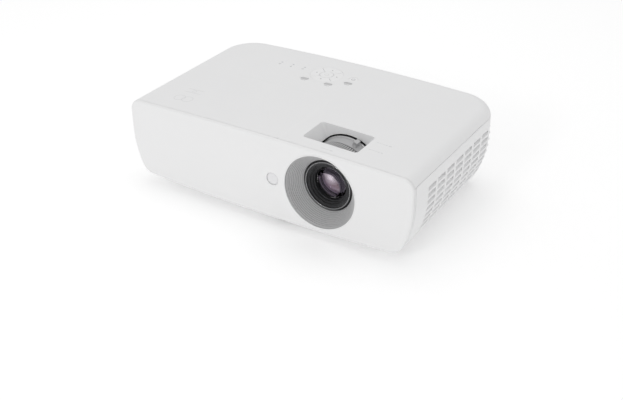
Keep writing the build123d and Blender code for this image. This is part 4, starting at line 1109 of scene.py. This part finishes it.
socketValues = {
    "jacks": ((-46.0, "jackGreen"), (-30.0, "jackBlue"), (-14.0, "jackRed"), (2.0, "jackWhite"),
              (18.0, "jackYellow")),
    "jackHeight": 60.0,
    "plugs": ((4.0, 5, 3), (42.0, 5, 3), (80.0, 4, 2)),
    "plugHeight": 41.9,
    "nutReach": 12.6,
    "face": 93.0,
}


def makeSocketLooks(values):
    face = values["face"]
    plugHeight = values["plugHeight"] * mm
    collar = [(2.6, face - 0.4), (4.1, face - 0.4), (4.1, face + 0.25), (3.8, face + 0.5),
              (2.9, face + 0.5), (2.6, face + 0.25)]
    sleeve = [(1.85, face - 4), (2.4, face - 4), (2.4, face + 1.6), (2.2, face + 1.8),
              (1.85, face + 1.8)]
    nut = [(1.4, face - 0.6), (2.6, face - 0.6), (2.6, face + 1.4), (2.3, face + 1.7),
           (1.4, face + 1.7)]
    for x, colour in values["jacks"]:
        centre = (x * mm, 0.0, values["jackHeight"] * mm)
        label = colour.removeprefix("jack")
        turnedPiece("jackCollar" + label, collar, 40, centre, "case", colour)
        turnedPiece("jackSleeve" + label, sleeve, 32, centre, "case", "platedSteel")
    for i, (x, columns, rows) in enumerate(values["plugs"], 1):
        grown(f"pinHoles{i}", gridTree, {
            "Columns": columns, "Rows": rows, "Width": 0.0098, "Height": 0.0038,
            "Rod Size": (0.0009, 0.0009, 0.0012), "Rod Turn": (0.0, 0.0, 0.0), "Sides": 10,
            "Centre": (x * mm, (face - 0.5) * mm, plugHeight), "Turn": (quarter, 0.0, 0.0)},
            "case", "turnedBrass")
        for side, label in ((-1, "Left"), (1, "Right")):
            centre = ((x + side * values["nutReach"]) * mm, 0.0, plugHeight)
            turnedPiece(f"jackNut{i}{label}", nut, 6, centre, "case", "platedSteel",
                        smooth=False)


def makeFootLooks():
    for node, body in (("front_foot_knob", "front_knob"), ("rear_foot_knob", "rear_knob")):
        low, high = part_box(node)
        grown(body + "Ribs", ribsTree, {
            "Count": 36, "Radius": (high.x - low.x) / 2 - 0.00005, "Rib Radius": 0.00055,
            "Rib Length": (high.z - low.z) - 0.0024, "Rib Sides": 6,
            "Centre": tuple(middleOf(node)), "Turn": (0.0, 0.0, 0.0)}, body, "footGrey")
    pad = middleOf("fixed_foot")
    grown("padGrooves", stackTree, {
        "Count": 4, "First Radius": 0.0030, "Last Radius": 0.0078, "Length": 0.0,
        "Thickness": 0.045, "Steps": 40, "Centre": (pad.x, pad.y, 0.0004),
        "Turn": (0.0, 0.0, 0.0)}, "case", "padRubber")


makeSocketLooks(socketValues)
makeFootLooks()
print("projector: sockets and feet dressed")
